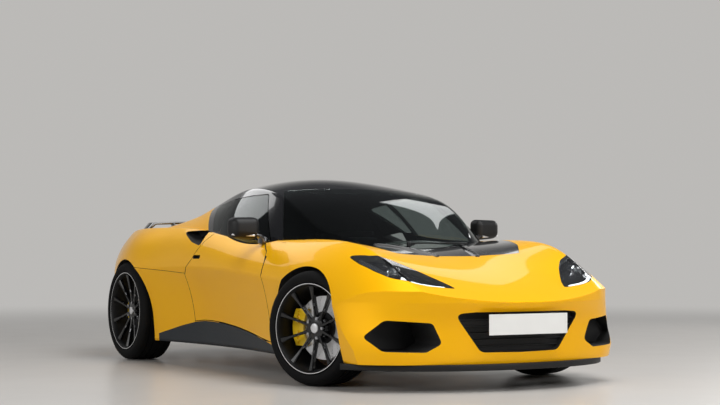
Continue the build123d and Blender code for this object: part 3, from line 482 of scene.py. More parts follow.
def normals_from(obj, sources):
    """Give faces that lie on a smooth source surface its own normals, and others the lining finish."""
    trees = []
    for source in sources:
        mesh = source.data
        corners = [tuple(p.vertices) for p in mesh.polygons]
        trees.append((BVHTree.FromPolygons([v.co for v in mesh.vertices], corners), mesh, corners))
    mesh = obj.data
    normals = [Vector((0, 0, 0))] * len(mesh.loops)
    for face in mesh.polygons:
        face.use_smooth = True
        centre = face.center
        best = None
        for tree, source, corners in trees:
            place, normal, index, distance = tree.find_nearest(centre)
            if place is not None and distance < SKIN_REACH and abs(normal.dot(face.normal)) > SKIN_FACING:
                if best is None or distance < best[0]:
                    best = (distance, tree, source, corners, 1 if normal.dot(face.normal) > 0 else -1)
        face.material_index = 1 if best is None else 0
        for loop in face.loop_indices:
            if best is None:
                normals[loop] = face.normal.copy()
                continue
            _, tree, source, corners, sign = best
            corner = mesh.vertices[mesh.loops[loop].vertex_index].co
            place, normal, index, distance = tree.find_nearest(corner)
            ring = corners[index]
            weights = [1 / max((source.vertices[v].co - place).length, 1e-6) ** 2 for v in ring]
            total = sum(weights)
            blend = Vector((0, 0, 0))
            for v, w in zip(ring, weights):
                blend += source.vertices[v].normal * (w / total)
            normals[loop] = blend.normalized() * sign
    mesh.normals_split_custom_set([tuple(n) for n in normals])


for form in (sides, ends, outer_house, inner_house, body):
    for face in form.data.polygons:
        face.use_smooth = True

CABIN_HALF = 740.0
BULKHEAD = REAR_AXLE + 830.0
OUTSIDE = 1200.0
FAR = 3000.0
# Where cutters from above start and end, and the half width that cutters from the side reach in to.
TOP_HEIGHTS, BONNET_HEIGHTS, LAMP_HEIGHTS = (700, 1400), (500, 1000), (400, 900)
GLASS_DEPTH, SKIRT_DEPTH, SIDE_DEPTH, SCOOP_DEPTH = 540, 660, 600, 700
GRILLE_DEPTH, INTAKE_DEPTH = 230, 414
CABIN_ROOMS = [
    # X, Y and Z, each from and to: the seats' floor, between the doors, footwells, behind the dashboard
    (BULKHEAD, 635, -600, 600, 180, 805),
    (BULKHEAD, 775, -CABIN_HALF, CABIN_HALF, 400, 806),
    (BULKHEAD - 0.4, 1200, -430, 430, 181, 560),
    (570, 1000, -560, 560, 500, 741),
]
BAY_ROOMS = [
    # the same for the engine bay and the opening above it
    (REAR_AXLE - 420, BULKHEAD - 40, -560, 560, 180, 820),
    (REAR_AXLE - 420.2, -560, -440, 440, 790, 1300),
]
WHEEL_WELLS = [
    # axle, height of the arch's centre, radius, inner and outer half width
    (FRONT_AXLE, 278, 393, 455, 1100),
    (FRONT_AXLE, 278.2, 412, 455.2, 800),
    (REAR_AXLE, 312, 385, 590, 1100),
]
SLIVER, SKIN_CLEAR = 0.01, 0.3  # what keeps two faces from lying in one plane
BONNET_THICKNESS, LAMP_DEPTH, TAIL_RECESS = 14, 42, 44
PANEL_GAP, DOOR_GAP, TAILGATE_GAP = 2, 5, 8


def hollow(rooms):
    """A cutting solid of boxes that meet."""
    whole = box_solid(*rooms[0])
    for room in rooms[1:]:
        whole = combine("cut", whole, add=[box_solid(*room)])
    return whole


def cabin_form():
    """The hollow cabin: footwells, the space between the doors and the inside of the glasshouse."""
    inner = combine("cut", inner_house, keep=[box_solid(BULKHEAD + 0.2, 1045, -900, 900, BASE_Z - 0.5, 1300)])
    return combine("cabin_form", hollow(CABIN_ROOMS), add=[inner])


def well_form():
    """The four wheel wells: an arch about each axle, open below."""
    whole = None
    for axle, height, radius, inner, outer in WHEEL_WELLS:
        for low, high in [(inner, outer), (-outer, -inner)]:
            below = box_solid(axle - radius + SLIVER, axle + radius - SLIVER, low + SLIVER, high - SLIVER,
                              -20, height)
            drum = combine("cut", cylinder(radius, low, high, (axle, height), steps=160), add=[below])
            whole = drum if whole is None else combine("cut", whole, add=[drum])
    return fixed(whole, "well_form")


def fixed(solid, name):
    """Keep a cutting solid for several uses."""
    solid.name = name
    return solid


def slab(x0, x1, z0=0, z1=2000):
    """All of the space between two X places."""
    return box_solid(x0, x1, -OUTSIDE, OUTSIDE, z0, z1)


def roof_zone(grow=0.0):
    return prism(side_outline(ROOF_EDGE, grow), "side", -OUTSIDE, OUTSIDE)


def from_side(corners, depth, grow=0.0):
    """A cutting solid for each side, from outside the body in to a half width."""
    return prism(side_outline(corners, grow), "side", depth, OUTSIDE, "both")


def from_above(corners, low, high, grow=0.0, pair=False):
    return prism(plan_outline(corners, grow, whole=not pair), "plan", low, high, "both" if pair else "one")


def from_front(corners, start, end=FAR, grow=0.0, pair=False):
    return prism(front_outline(corners, grow, whole=not pair), "front", start, end, "both" if pair else "one")


def seam(points, width=3.2, depth=5.0):
    """Cutting solids, one for each side, of a narrow shut line along a side view line."""
    solids = []
    for side in (-1, 1):
        strip = prism(band(points, width), "side", *sorted((side * SIDE_DEPTH, side * OUTSIDE)))
        solids.append(combine("cut", strip, less=[moved(body, y=-side * depth)]))
        remove(strip)
    return solids


REAR_SEAM = [(-1135, 643), (-1000, 637), (-700, 625), (-500, 615.5), (-405, 611)]
HANDLE = [
    (-271, 711), (-271, 724), (-262, 730), (-178, 730), (-169, 724), (-169, 711), (-178, 706), (-262, 706),
]
HANDLE_FLOOR = 832
HINGE_X, HINGE_HALF_SPAN = 700.0, 820.0
DOOR_SWING = range(6, 72, 6)


def swept():
    """What the front ends of the doors pass through as they open, as one cutting solid for each angle."""
    strips = combine("cut", body, keep=[door_cut, slab(HINGE_X - 110, HINGE_X + 200, 0, 1400)])
    solids = []
    for side in (-1, 1):
        half = box_solid(0, 2000, *sorted((side * SIDE_DEPTH, side * OUTSIDE)), -10, 1500)
        strip = combine("cut", strips, keep=[half])
        hinge = Vector((HINGE_X, side * HINGE_HALF_SPAN, 0)) * MM
        for angle in DOOR_SWING:
            turned = fixed(moved(strip), "turned")
            turned.data.transform(about(hinge, Matrix.Rotation(math.radians(-side * angle), 4, "Z")))
            solids.append(turned)
        remove(strip)
    remove(strips)
    return solids


cabin, wells, bay = cabin_form(), well_form(), fixed(hollow(BAY_ROOMS), "bay_form")
door_cut = fixed(from_side(DOOR_OUTLINE, CABIN_HALF - 2, grow=DOOR_GAP), "door_zone")
skirt_cut = fixed(from_side(SKIRT, SKIRT_DEPTH, grow=SKIN_CLEAR), "skirt_zone")
tub_zone = fixed(box_solid(BULKHEAD - 40, 615, -CABIN_HALF + 2, CABIN_HALF - 2, 0, 800), "tub_zone")
under_bonnet = fixed(moved(body, z=-BONNET_THICKNESS), "under_bonnet")
under_lamps = fixed(moved(body, z=-LAMP_DEPTH), "under_lamps")
raised = fixed(moved(body, z=SKIN_CLEAR), "raised")
swing = swept()

nose = combine("nose_panel", body, keep=[slab(500, FAR)], less=[
    tub_zone, cabin, wells, door_cut, skirt_cut,
    from_front(GRILLE, NOSE_X - GRILLE_DEPTH), from_front(INTAKE, NOSE_X - INTAKE_DEPTH, pair=True),
    combine("cut", from_above(BONNET_PANEL, *BONNET_HEIGHTS, grow=PANEL_GAP), less=[under_bonnet]),
    combine("cut", from_above(HEADLAMP, *LAMP_HEIGHTS, grow=PANEL_GAP, pair=True), less=[under_lamps]),
] + swing)
bonnet = combine("bonnet_black", body, keep=[from_above(BONNET_PANEL, *BONNET_HEIGHTS)], less=[under_bonnet])
haunches = combine("cut", outer_house, keep=[slab(-FAR, FRONT_AXLE - 1400, 600)],
                   less=[roof_zone(SKIN_CLEAR)])
rear_form = combine("rear_form", body, keep=[slab(-FAR, -100)], add=[haunches])
tail_cut = combine("cut", from_above(TAIL_PANEL, *TOP_HEIGHTS, grow=TAILGATE_GAP),
                   less=[moved(rear_form, z=-TAIL_RECESS)])
rear = combine("rear_panel", rear_form, less=[
    cabin, wells, bay, tub_zone, door_cut, skirt_cut, tail_cut,
    box_solid(-FAR, -NOSE_X + 439, -515, 515, 0, 330), from_side(SCOOP, SCOOP_DEPTH),
    combine("cut", from_side(QUARTER_GLASS, GLASS_DEPTH, grow=PANEL_GAP), less=[raised]),
] + seam(REAR_SEAM))
tail = combine("tail_panel", rear_form, keep=[from_above(TAIL_PANEL, *TOP_HEIGHTS)],
               less=[moved(rear_form, z=-ROOF_THICKNESS), from_above(TAIL_WINDOW, *TOP_HEIGHTS, grow=1)])
tail_glass = combine("tail_glass", rear_form, keep=[from_above(TAIL_WINDOW, *TOP_HEIGHTS)],
                     less=[moved(rear_form, z=-GLASS_THICKNESS)])
roof = combine("roof_panel", outer_house, keep=[roof_zone()], less=[
    raised, cabin, bay, from_above(TAIL_PANEL, *TOP_HEIGHTS, grow=TAILGATE_GAP),
    from_side(QUARTER_GLASS, GLASS_DEPTH, grow=PANEL_GAP), from_side(DOOR_GLASS, GLASS_DEPTH, grow=DOOR_GAP),
    from_above(WINDSCREEN, *TOP_HEIGHTS, grow=PANEL_GAP),
])
glass_skin = combine("glass_skin", outer_house, less=[glass_house])
screen = combine("screen_glass", glass_skin, keep=[from_above(WINDSCREEN, 700, 1300)], less=[raised])
quarter = combine("quarter_panes", glass_skin, keep=[from_side(QUARTER_GLASS, GLASS_DEPTH)], less=[raised])
door_panes = combine("door_panes", glass_skin, keep=[from_side(DOOR_GLASS, GLASS_DEPTH)], less=[raised])
doors = combine("doors", body, keep=[from_side(DOOR_OUTLINE, CABIN_HALF)],
                less=[prism(HANDLE, "side", HANDLE_FLOOR, OUTSIDE, "both")])
skirts = combine("skirts", body, keep=[from_side(SKIRT, SKIRT_DEPTH)], less=swing)


# ---------------------------------------------------------------- materials
def node(tree, kind, operation=None, **values):
    """A new shader node, with the values of its sockets by name."""
    made = tree.nodes.new(f"ShaderNode{kind}")
    if operation:
        made.operation = operation
    for socket, value in values.items():
        made.inputs[socket.replace("_", " ")].default_value = value
    return made


def wire(tree, *links):
    """Join nodes by links of (node, output, node, input)."""
    for source, output, target, socket in links:
        tree.links.new(source.outputs[output], target.inputs[socket])


def colours(ramp, low, low_colour, high, high_colour):
    first, last = ramp.color_ramp.elements
    first.position, last.position = low, high
    first.color, last.color = (*low_colour, 1), (*high_colour, 1)


FINISH_INPUTS = ("Roughness", "Unevenness", "Grain scale", "Grain depth")


def finish_group():
    """Shared node group: uneven roughness and a fine surface texture for any finish."""
    group = bpy.data.node_groups.new("surface_finish", "ShaderNodeTree")
    for name, value in zip(FINISH_INPUTS, (0.4, 0.05, 400.0, 0.02)):
        socket = group.interface.new_socket(name=name, in_out="INPUT", socket_type="NodeSocketFloat")
        socket.default_value = value
    group.interface.new_socket(name="Roughness", in_out="OUTPUT", socket_type="NodeSocketFloat")
    group.interface.new_socket(name="Normal", in_out="OUTPUT", socket_type="NodeSocketVector")
    inputs, outputs = group.nodes.new("NodeGroupInput"), group.nodes.new("NodeGroupOutput")
    place, grain, bump = node(group, "TexCoord"), node(group, "TexNoise"), node(group, "Bump", Distance=0.001)
    smear = node(group, "TexNoise", Scale=3.0, Detail=4.0)
    centre, spread = node(group, "Math", "SUBTRACT"), node(group, "Math", "MULTIPLY_ADD")
    centre.inputs[1].default_value = 0.5
    wire(group, (place, "Object", smear, "Vector"), (place, "Object", grain, "Vector"),
         (inputs, "Grain scale", grain, "Scale"), (smear, "Fac", centre, 0), (centre, 0, spread, 0),
         (inputs, "Unevenness", spread, 1), (inputs, "Roughness", spread, 2), (grain, "Fac", bump, "Height"),
         (inputs, "Grain depth", bump, "Strength"), (spread, 0, outputs, "Roughness"),
         (bump, "Normal", outputs, "Normal"))
    return group


FINISH = finish_group()


def material(name, colour, roughness, unevenness=0.05, grain=400.0, depth=0.02, second=None, patch=6.0,
             **sockets):
    """A Principled material with two mixed colours and the shared surface finish."""
    made = bpy.data.materials.new(name)
    made.use_nodes = True
    tree = made.node_tree
    shader = tree.nodes["Principled BSDF"]
    finish = tree.nodes.new("ShaderNodeGroup")
    finish.node_tree = FINISH
    for socket, value in zip(FINISH_INPUTS, (roughness, unevenness, grain, depth)):
        finish.inputs[socket].default_value = value
    place, noise, ramp = node(tree, "TexCoord"), node(tree, "TexNoise", Scale=patch), node(tree, "ValToRGB")
    colours(ramp, 0.3, colour, 0.7, second or tuple(min(1, c * 1.06) for c in colour))
    wire(tree, (finish, "Roughness", shader, "Roughness"), (finish, "Normal", shader, "Normal"),
         (place, "Object", noise, "Vector"), (noise, "Fac", ramp, "Fac"),
         (ramp, "Color", shader, "Base Color"))
    for socket, value in sockets.items():
        shader.inputs[socket.replace("_", " ")].default_value = value
    return made


def clear_glass(name, tint, shadow):
    """Glass that bends and reflects light, and lets lamps shine through it."""
    made = material(name, tint, 0.0, unevenness=0.0, depth=0.0, Transmission_Weight=1.0, IOR=1.45)
    tree = made.node_tree
    path, through = node(tree, "LightPath"), node(tree, "BsdfTransparent", Color=(*shadow, 1))
    mix = node(tree, "MixShader")
    wire(tree, (path, "Is Shadow Ray", mix, 0), (tree.nodes["Principled BSDF"], 0, mix, 1),
         (through, 0, mix, 2), (mix, 0, tree.nodes["Material Output"], "Surface"))
    return made


YELLOW = material("yellow_paint", (0.95, 0.47, 0.0012), 0.42, grain=900, depth=0.015, patch=2.0,
                  second=(0.97, 0.495, 0.0016), Metallic=0.28, Coat_Weight=0.42, Coat_Roughness=0.04,
                  Coat_IOR=1.33, Specular_IOR_Level=0.1)
BLACK_GLOSS = material("black_gloss", (0.006, 0.006, 0.007), 0.16, grain=900, depth=0.01, Coat_Weight=1.0,
                       Coat_Roughness=0.02)
BLACK_SATIN = material("black_plastic", (0.006, 0.006, 0.0065), 0.5, unevenness=0.15, grain=1200, depth=0.12,
                       Specular_IOR_Level=0.3)
SKIRT_GREY = material("skirt_satin", (0.009, 0.0135, 0.019), 0.42, unevenness=0.12, grain=700, depth=0.05,
                      Specular_IOR_Level=0.35)
DARK_LINING = material("dark_lining", (0.008, 0.008, 0.008), 0.8, unevenness=0.2, grain=300, depth=0.2)
WINDOW_GLASS = clear_glass("window_glass", (0.38, 0.43, 0.42), (0.3, 0.34, 0.33))
LAMP_GLASS = clear_glass("lamp_glass", (0.93, 0.95, 0.96), (0.9, 0.92, 0.93))
RUBBER = material("tyre_rubber", (0.0035, 0.0035, 0.004), 0.75, unevenness=0.2, grain=250, depth=0.15,
                  second=(0.006, 0.006, 0.006), Specular_IOR_Level=0.12)
WHEEL_BLACK = material("wheel_black", (0.004, 0.004, 0.0045), 0.25, grain=900, depth=0.01,
                       Specular_IOR_Level=0.3, Coat_Weight=0.35, Coat_Roughness=0.05)
# Grey metal: the bolts' own finish, and on the spokes' edge chamfers a painted highlight that stands in for
# the glints along the black spokes.
MACHINED_AND_SPOKE_GLINT = material("machined_grey", (0.42, 0.42, 0.44), 0.3, grain=1500, depth=0.1, Metallic=1.0)
SILVER = material("silver_paint", (0.7, 0.7, 0.71), 0.3, grain=900, Metallic=0.7)
DISC_STEEL = material("disc_steel", (0.72, 0.72, 0.73), 0.35, unevenness=0.2, grain=2000, depth=0.2,
                      Metallic=0.6)
ALLOY = material("cast_alloy", (0.3, 0.3, 0.31), 0.5, unevenness=0.2, grain=500, depth=0.3, Metallic=0.9)
CALIPER_YELLOW = material("caliper_paint", (0.86, 0.55, 0.01), 0.3, grain=600, depth=0.05, Coat_Weight=0.6)
CHROME = material("chrome", (0.85, 0.86, 0.88), 0.06, unevenness=0.02, depth=0.0, Metallic=1.0)
LED_WHITE = material("led_white", (0.85, 0.88, 0.9), 0.25)
PROJECTOR = material("projector_glass", (0.02, 0.024, 0.028), 0.05, unevenness=0.0, depth=0.0,
                     Coat_Weight=1.0, Coat_Roughness=0.02)
RED_LENS = material("red_lens", (0.35, 0.004, 0.004), 0.12, Coat_Weight=1.0)
PLATE_WHITE = material("plate_white", (0.72, 0.72, 0.7), 0.35)
LEATHER = material("black_leather", (0.012, 0.012, 0.014), 0.5, unevenness=0.2, grain=350, depth=0.5,
                   second=(0.018, 0.018, 0.02))
DASH = material("dash_cover", (0.014, 0.014, 0.016), 0.6, unevenness=0.15, grain=800, depth=0.3)


# ---------------------------------------------------------------- publishing pieces
def dress(obj, *materials):
    obj.data.materials.clear()
    for made in materials:
        obj.data.materials.append(made)


PUBLISHED = set()


def publish(obj, name, body_name, slot, nodes, *materials, sources=None):
    """Name a finished piece, give it its finish and tie it to its body."""
    obj.name = name
    obj.data.name = name
    if materials:
        dress(obj, *materials)
    if sources:
        normals_from(obj, sources)
    if nodes:
        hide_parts(*nodes)
    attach(obj, body_name)
    PUBLISHED.add(obj.name)
    return obj


PAINTED, GLOSSED, GLAZED = (YELLOW, DARK_LINING), (BLACK_GLOSS, DARK_LINING), (WINDOW_GLASS, WINDOW_GLASS)
PANES = [outer_house, glass_house]
publish(nose, "nose_skin", "body", "paint", ["nose"], *PAINTED, sources=[sides, ends])
publish(bonnet, "bonnet_skin", "body", "gloss_black", ["bonnet_panel"], *GLOSSED, sources=[sides])
publish(rear, "rear_skin", "body", "paint", ["rear_clip"], *PAINTED, sources=[sides, ends, outer_house])
publish(roof, "roof_skin", "body", "gloss_black", ["roof"], *GLOSSED, sources=[outer_house])
publish(screen, "windscreen_pane", "body", "glass", ["windscreen"], *GLAZED, sources=PANES)
publish(quarter, "quarter_panes", "body", "glass", ["quarter_glass"], *GLAZED, sources=PANES)
publish(skirts, "side_skirt_pair", "body", "skirt", ["side_skirts"], SKIRT_GREY, SKIRT_GREY, sources=[sides])
publish(tail, "tailgate_skin", "tailgate", "paint", ["tailgate"], *PAINTED, sources=[sides, outer_house])
publish(tail_glass, "tailgate_pane", "tailgate", "glass", ["tailgate_glass"], *GLAZED, sources=[outer_house])
for side, low, high in [("right", -2000, 0), ("left", 0, 2000)]:
    half = fixed(box_solid(-FAR, FAR, low, high, -10, 2000), "half")
    publish(combine("door", doors, keep=[half]), f"door_{side}_skin", f"door_{side}", "paint",
            [f"door_{side}"], *PAINTED, sources=[sides])
    publish(combine("pane", door_panes, keep=[half]), f"door_{side}_pane", f"door_{side}", "glass",
            [f"door_glass_{side}"], *GLAZED, sources=PANES)
    remove(half)


# ---------------------------------------------------------------- wheels
def lathe(name, profile, steps=128):
    """Spin a closed profile of (radius, y) about Y."""
    mesh = bpy.data.meshes.new(name)
    count = len(profile)
    ring = [(k, (k + 1) % count) for k in range(count)]
    mesh.from_pydata([(r * MM, y * MM, 0) for r, y in profile], ring, [])
    obj = linked(name, mesh)
    select(obj)
    bpy.ops.object.mode_set(mode="EDIT")
    bpy.ops.mesh.select_all(action="SELECT")
    bpy.ops.mesh.spin(steps=steps, angle=2 * math.pi, center=(0, 0, 0), axis=(0, 1, 0))
    bpy.ops.mesh.select_all(action="SELECT")
    bpy.ops.mesh.remove_doubles(threshold=0.00002)
    bpy.ops.mesh.dissolve_degenerate(threshold=0.000005)
    bpy.ops.mesh.select_all(action="SELECT")
    bpy.ops.mesh.normals_make_consistent(inside=False)
    bpy.ops.object.mode_set(mode="OBJECT")
    return obj


def sharpen(obj, degrees=32):
    """Smooth shading that stays crisp at edges sharper than an angle."""
    limit = math.radians(degrees)
    work = bmesh.new()
    work.from_mesh(obj.data)
    for edge in work.edges:
        edge.smooth = len(edge.link_faces) == 2 and edge.calc_face_angle(0) < limit
    for face in work.faces:
        face.smooth = True
    work.to_mesh(obj.data)
    work.free()
    return obj


def tyre_profile(radius, half, rim):
    """Cross-section with bead, bulging wall, shoulder and four grooves across the tread."""
    points = [(rim - 11, -half + 19), (rim - 11, half - 19), (rim + 1, half - 12)]
    points += arc((rim + 4, half - 8), ((rim + radius) / 2 - 4, half - 0.5), (radius - 14, half - 13), 8)
    points += arc((radius - 14, half - 13), (radius - 5, half - 24), (radius - 1, half - 44), 6)
    tread = []
    for centre in (0.52, 0.18, -0.18, -0.52):
        y = centre * half
        tread += [(radius - 0.5, y + 5), (radius - 7, y + 4), (radius - 7, y - 4), (radius - 0.5, y - 5)]
    points += [(radius - 0.5, half - 50)] + tread + [(radius - 0.5, -half + 50)]
    points += arc((radius - 1, -half + 44), (radius - 5, -half + 24), (radius - 14, -half + 13), 6)
    points += arc((radius - 14, -half + 13), ((rim + radius) / 2 - 4, -half + 0.5), (rim + 4, -half + 8), 8)
    points += [(rim + 1, -half + 12)]
    return points


SPOKES, SPOKE_START = 10, 44
BOLTS, BOLT_CIRCLE, BOLT_RADIUS = 5, 57, 9


def spoke(angle, rim, half):
    """One slim spoke: black face, edge chamfers in grey metal as a painted highlight, deeper towards the hub.
    """
    rows = []
    for k in range(13):
        t = k / 12
        r = SPOKE_START + (rim - 20 - SPOKE_START) * t
        face = half - 50 + 38 * t ** 1.3
        width = 13 - 5.5 * math.sin(math.pi * min(t * 1.15, 1)) + 5 * max(0, t - 0.85) / 0.15
        depth = 34 - 10 * t
        rows.append([(r, face, -width * 0.62), (r, face, width * 0.62), (r, face - 5, width),
                     (r, face - depth, width * 0.7), (r, face - depth, -width * 0.7), (r, face - 5, -width)])
    obj = loft("cut", rows)
    dress(obj, WHEEL_BLACK, MACHINED_AND_SPOKE_GLINT)
    # The edge chamfers take the grey metal: a painted highlight where the black spokes show glints.
    for face in obj.data.polygons:
        if abs(face.normal.z) > 0.5 and 0.2 < face.normal.y < 0.5:
            face.material_index = 1
    obj.data.transform(Matrix.Rotation(angle, 4, "Y"))
    return obj




def rim_object(rim, half):
    """Barrel, spokes, hub, bolts and cap."""
    well = rim - 13
    barrel = lathe("rim", [
        (well - 8, -half), (rim - 1, -half), (rim - 1, -half + 5), (well, -half + 12), (well, half - 12),
        (rim - 3, half - 6), (rim - 1, half - 3), (rim - 2, half), (rim - 7, half), (rim - 11, half - 3),
        (rim - 15, half - 12), (well - 9, half - 34), (well - 9, -half + 10),
    ])
    hub = lathe("cut", [(33, 16), (66, 16), (68, half - 62), (62, half - 52), (40, half - 47),
                        (30, half - 46), (30, half - 56), (33, half - 60)], 64)
    cap = lathe("cut", [(0, half - 42), (20, half - 42.5), (26, half - 44), (28.5, half - 48),
                        (28.5, half - 58), (0, half - 58)], 48)
    ring = lathe("cut", [(rim - 2.6, half + 0.35), (rim - 6.4, half + 0.35), (rim - 6.4, half - 1),
                         (rim - 2.6, half - 1)])
    for obj, made in [(barrel, BLACK_SATIN), (hub, WHEEL_BLACK), (cap, SILVER), (ring, SILVER)]:
        dress(obj, made)
    middles = circle(BOLT_CIRCLE, [2 * math.pi * (k + 0.5) / BOLTS for k in range(BOLTS)])
    bolts = [cylinder(BOLT_RADIUS, half - 56, half - 42, middle, steps=6) for middle in middles]
    for bolt in bolts:
        dress(bolt, MACHINED_AND_SPOKE_GLINT)
    spokes = [spoke(2 * math.pi * (k + 0.5) / SPOKES, rim, half) for k in range(SPOKES)]
    whole = join_with_materials([barrel, hub, cap, ring] + bolts + spokes)
    return sharpen(whole, 34)


def join_with_materials(objects):
    """Join objects and keep each one's materials."""
    select(*objects)
    bpy.ops.object.join()
    return objects[0]


HOLES, HOLE_CIRCLES, HOLE_RADIUS, HOLE_TURN = 20, (108, 124, 140, 156, 170), 3.4, 0.19


def disc_object():
    """Drilled brake disc with a dark hat."""
    ring = lathe("disc", [(92, -36), (180, -36), (180, -26), (176, -25), (176, -19), (180, -18), (180, -8),
                          (92, -8)])
    holes = []
    for row, r in enumerate(HOLE_CIRCLES):
        middles = circle(r, [2 * math.pi * (k + HOLE_TURN * row) / HOLES for k in range(HOLES)])
        holes += [cylinder(HOLE_RADIUS, -40, -4, middle, steps=10) for middle in middles]
    ring = combine("disc", ring, less=[joined(holes)])
    dress(ring, DISC_STEEL)
    hat = lathe("cut", [(38, -36), (93, -36), (94, -10), (88, -4), (66, -2), (64, 14), (38, 14)], 64)
    dress(hat, BLACK_SATIN)
    return sharpen(join_with_materials([ring, hat]), 34)


SIDES = (("right", -1), ("left", 1))
WHEELS = {
    # axle, half track, tyre radius, its half width, rim radius, its half width
    "front": (FRONT_AXLE, 778, 323.5, 119, 255, 114),
    "rear": (REAR_AXLE, 783, 339.5, 129, 268, 123),
}
KINGPIN_INSET = 70.0


def wheel_place(side, axle, half_track, radius, steered):
    """Where a wheel's own frame stands: outer face towards +Y before it is placed."""
    steer = PARKED_STEER if steered else 0.0
    pivot = Matrix.Translation((axle * MM, side * (half_track - KINGPIN_INSET) * MM, 0))
    pivot = pivot @ Matrix.Rotation(steer, 4, "Z")
    hub = Matrix.Translation((0, side * KINGPIN_INSET * MM, radius * MM))
    return pivot @ hub @ (Matrix.Rotation(math.pi, 4, "Z") if side < 0 else Matrix.Identity(4))


for end, (axle, half_track, radius, half, rim, rim_half) in WHEELS.items():
    for side, way in SIDES:
        place = wheel_place(way, axle, half_track, radius, end == "front")
        tyre = sharpen(lathe("tyre", tyre_profile(radius, half, rim), 144), 40)
        dress(tyre, RUBBER)
        for obj, label, slot in [(tyre, "tyre", "tyre"), (rim_object(rim, rim_half), "rim", "wheel_black"),
                                 (disc_object(), "disc", "iron")]:
            obj.data.transform(place)
            publish(obj, f"{label}_{end}_{side}_mesh", f"wheel_{end}_{side}", slot, [f"{label}_{end}_{side}"])


# ---------------------------------------------------------------- modelling by hand
def pick(obj, test=None):
    """Enter edit mode on one object with only the faces that pass a test selected."""
    select(obj)
    bpy.ops.object.mode_set(mode="EDIT")
    bpy.ops.mesh.select_mode(type="FACE")
    bpy.ops.mesh.select_all(action="DESELECT")
    bpy.ops.object.mode_set(mode="OBJECT")
    if test:
        for face in obj.data.polygons:
            face.select = test(face)
    bpy.ops.object.mode_set(mode="EDIT")


def leave():
    bpy.ops.object.mode_set(mode="OBJECT")


def reshape(obj, test, scale, shift=(0, 0, 0)):
    """Scale and move the faces that pass a test."""
    pick(obj, test)
    bpy.ops.transform.resize(value=scale)
    bpy.ops.transform.translate(value=shift)
    leave()


def outermost(axis):
    """A test for the faces of a block that look along an axis."""
    return lambda face: face.normal[axis] > 0.5


def block(name, low, high):
    """A box between two corners, ready to be shaped."""
    bpy.ops.object.select_all(action="DESELECT")
    bpy.ops.mesh.primitive_cube_add(size=1)
    obj = bpy.context.object
    obj.name = name
    middle = [(a + b) / 2 * MM for a, b in zip(low, high)]
    size = [(b - a) * MM for a, b in zip(low, high)]
    obj.data.transform(Matrix.Translation(middle) @ Matrix.Diagonal(size + [1]))
    return obj


def polish(obj, bevel=0.0, segments=3, levels=0, limit=35, smooth=35):
    """Bevel the edges, round the form and smooth the shading of a finished shape."""
    select(obj)
    if bevel:
        edge = obj.modifiers.new("edge", "BEVEL")
        edge.width, edge.segments = bevel * MM, segments
        edge.limit_method, edge.angle_limit = "ANGLE", math.radians(limit)
        bpy.ops.object.modifier_apply(modifier="edge")
    if levels:
        form = obj.modifiers.new("form", "SUBSURF")
        form.levels = form.render_levels = levels
        bpy.ops.object.modifier_apply(modifier="form")
    bpy.ops.object.shade_smooth_by_angle(angle=math.radians(smooth))
    return obj


def refined(node, name, body_name, slot, *materials, bevel=0.0, segments=2):
    """A merged copy of a frame piece with softened edges, in that piece's place."""
    copy = duplicate(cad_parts[node], name)
    pick(copy)
    bpy.ops.mesh.select_all(action="SELECT")
    bpy.ops.mesh.remove_doubles(threshold=0.00002)
    bpy.ops.mesh.normals_make_consistent(inside=False)
    leave()
    polish(copy, bevel, segments)
    return publish(copy, name, body_name, slot, [node], *materials)


def layer(name, outline, top, bottom):
    """Both sides' layer between two depths under the skin, inside an outline seen from above."""
    base = fixed(moved(body, z=-top), "layer_base")
    made = combine(name, base, keep=[prism(outline, "plan", 300, 900, "both")], less=[moved(body, z=-bottom)])
    remove(base)
    return made


# ---------------------------------------------------------------- headlamps
# Lines seen from above: X from the nose and half width.
REFLECTOR_LINE = [(-590, 722), (-540, 716), (-480, 704), (-420, 690), (-372, 672)]
LIGHT_LINE = [(-300, 634), (-262, 600), (-238, 560), (-222, 510), (-210, 460), (-200, 418)]
PROJECTOR_PLACE, PROJECTOR_TURN, PROJECTOR_TILT = (1.794, 0.617, 0.633), -78, 8
PROJECTOR_RING = 0.0325


def lamp_strip(points, width, top, bottom):
    """Both sides' strip along a line inside the lamps."""
    return sharpen(layer("strip", band([(NOSE_X + x, y) for x, y in points], width), top, bottom))


def projectors():
    """A round lens in a bright ring, in each headlamp."""
    crown = arc((10, 25.4), (22, 20), (31, 9), 6)
    eye = lathe("eye", [(0, 26)] + crown + [(31, 9), (31, 4), (36, 12), (39, 8), (39, -26), (0, -26)], 64)
    turn, tilt = math.radians(PROJECTOR_TURN), math.radians(PROJECTOR_TILT)
    eye.data.transform(Matrix.Translation(PROJECTOR_PLACE) @ Matrix.Rotation(turn, 4, "Z")
                       @ Matrix.Rotation(tilt, 4, "X"))
    eyes = joined([eye, mirrored(eye)])
    dress(eyes, PROJECTOR, CHROME)
    x, y, z = PROJECTOR_PLACE
    for face in eyes.data.polygons:
        centre = face.center - Vector((x, math.copysign(y, face.center.y), z))
        face.material_index = 1 if centre.length > PROJECTOR_RING and face.normal.x > 0.1 else 0
    return sharpen(eyes, 30)


lens = layer("headlamp_lens", plan_outline(HEADLAMP, 0, whole=False), 0, 4)
publish(lens, "headlamp_lenses", "body", "lamp_lens", ["headlamps"], LAMP_GLASS, LAMP_GLASS,
        sources=[sides, ends])
bowl = layer("bowl", plan_outline(HEADLAMP, -1, whole=False), 33, 41.5)
publish(sharpen(bowl), "headlamp_bowls", "body", "black_trim", [], BLACK_GLOSS)
publish(lamp_strip(REFLECTOR_LINE, 20, 13, 30), "headlamp_reflectors", "body", "lamp_lens", [], CHROME)
publish(lamp_strip(LIGHT_LINE, 15, 9, 24), "headlamp_light_bars", "body", "lamp_lens", [], LED_WHITE)
publish(projectors(), "headlamp_projectors", "body", "lamp_lens", [])

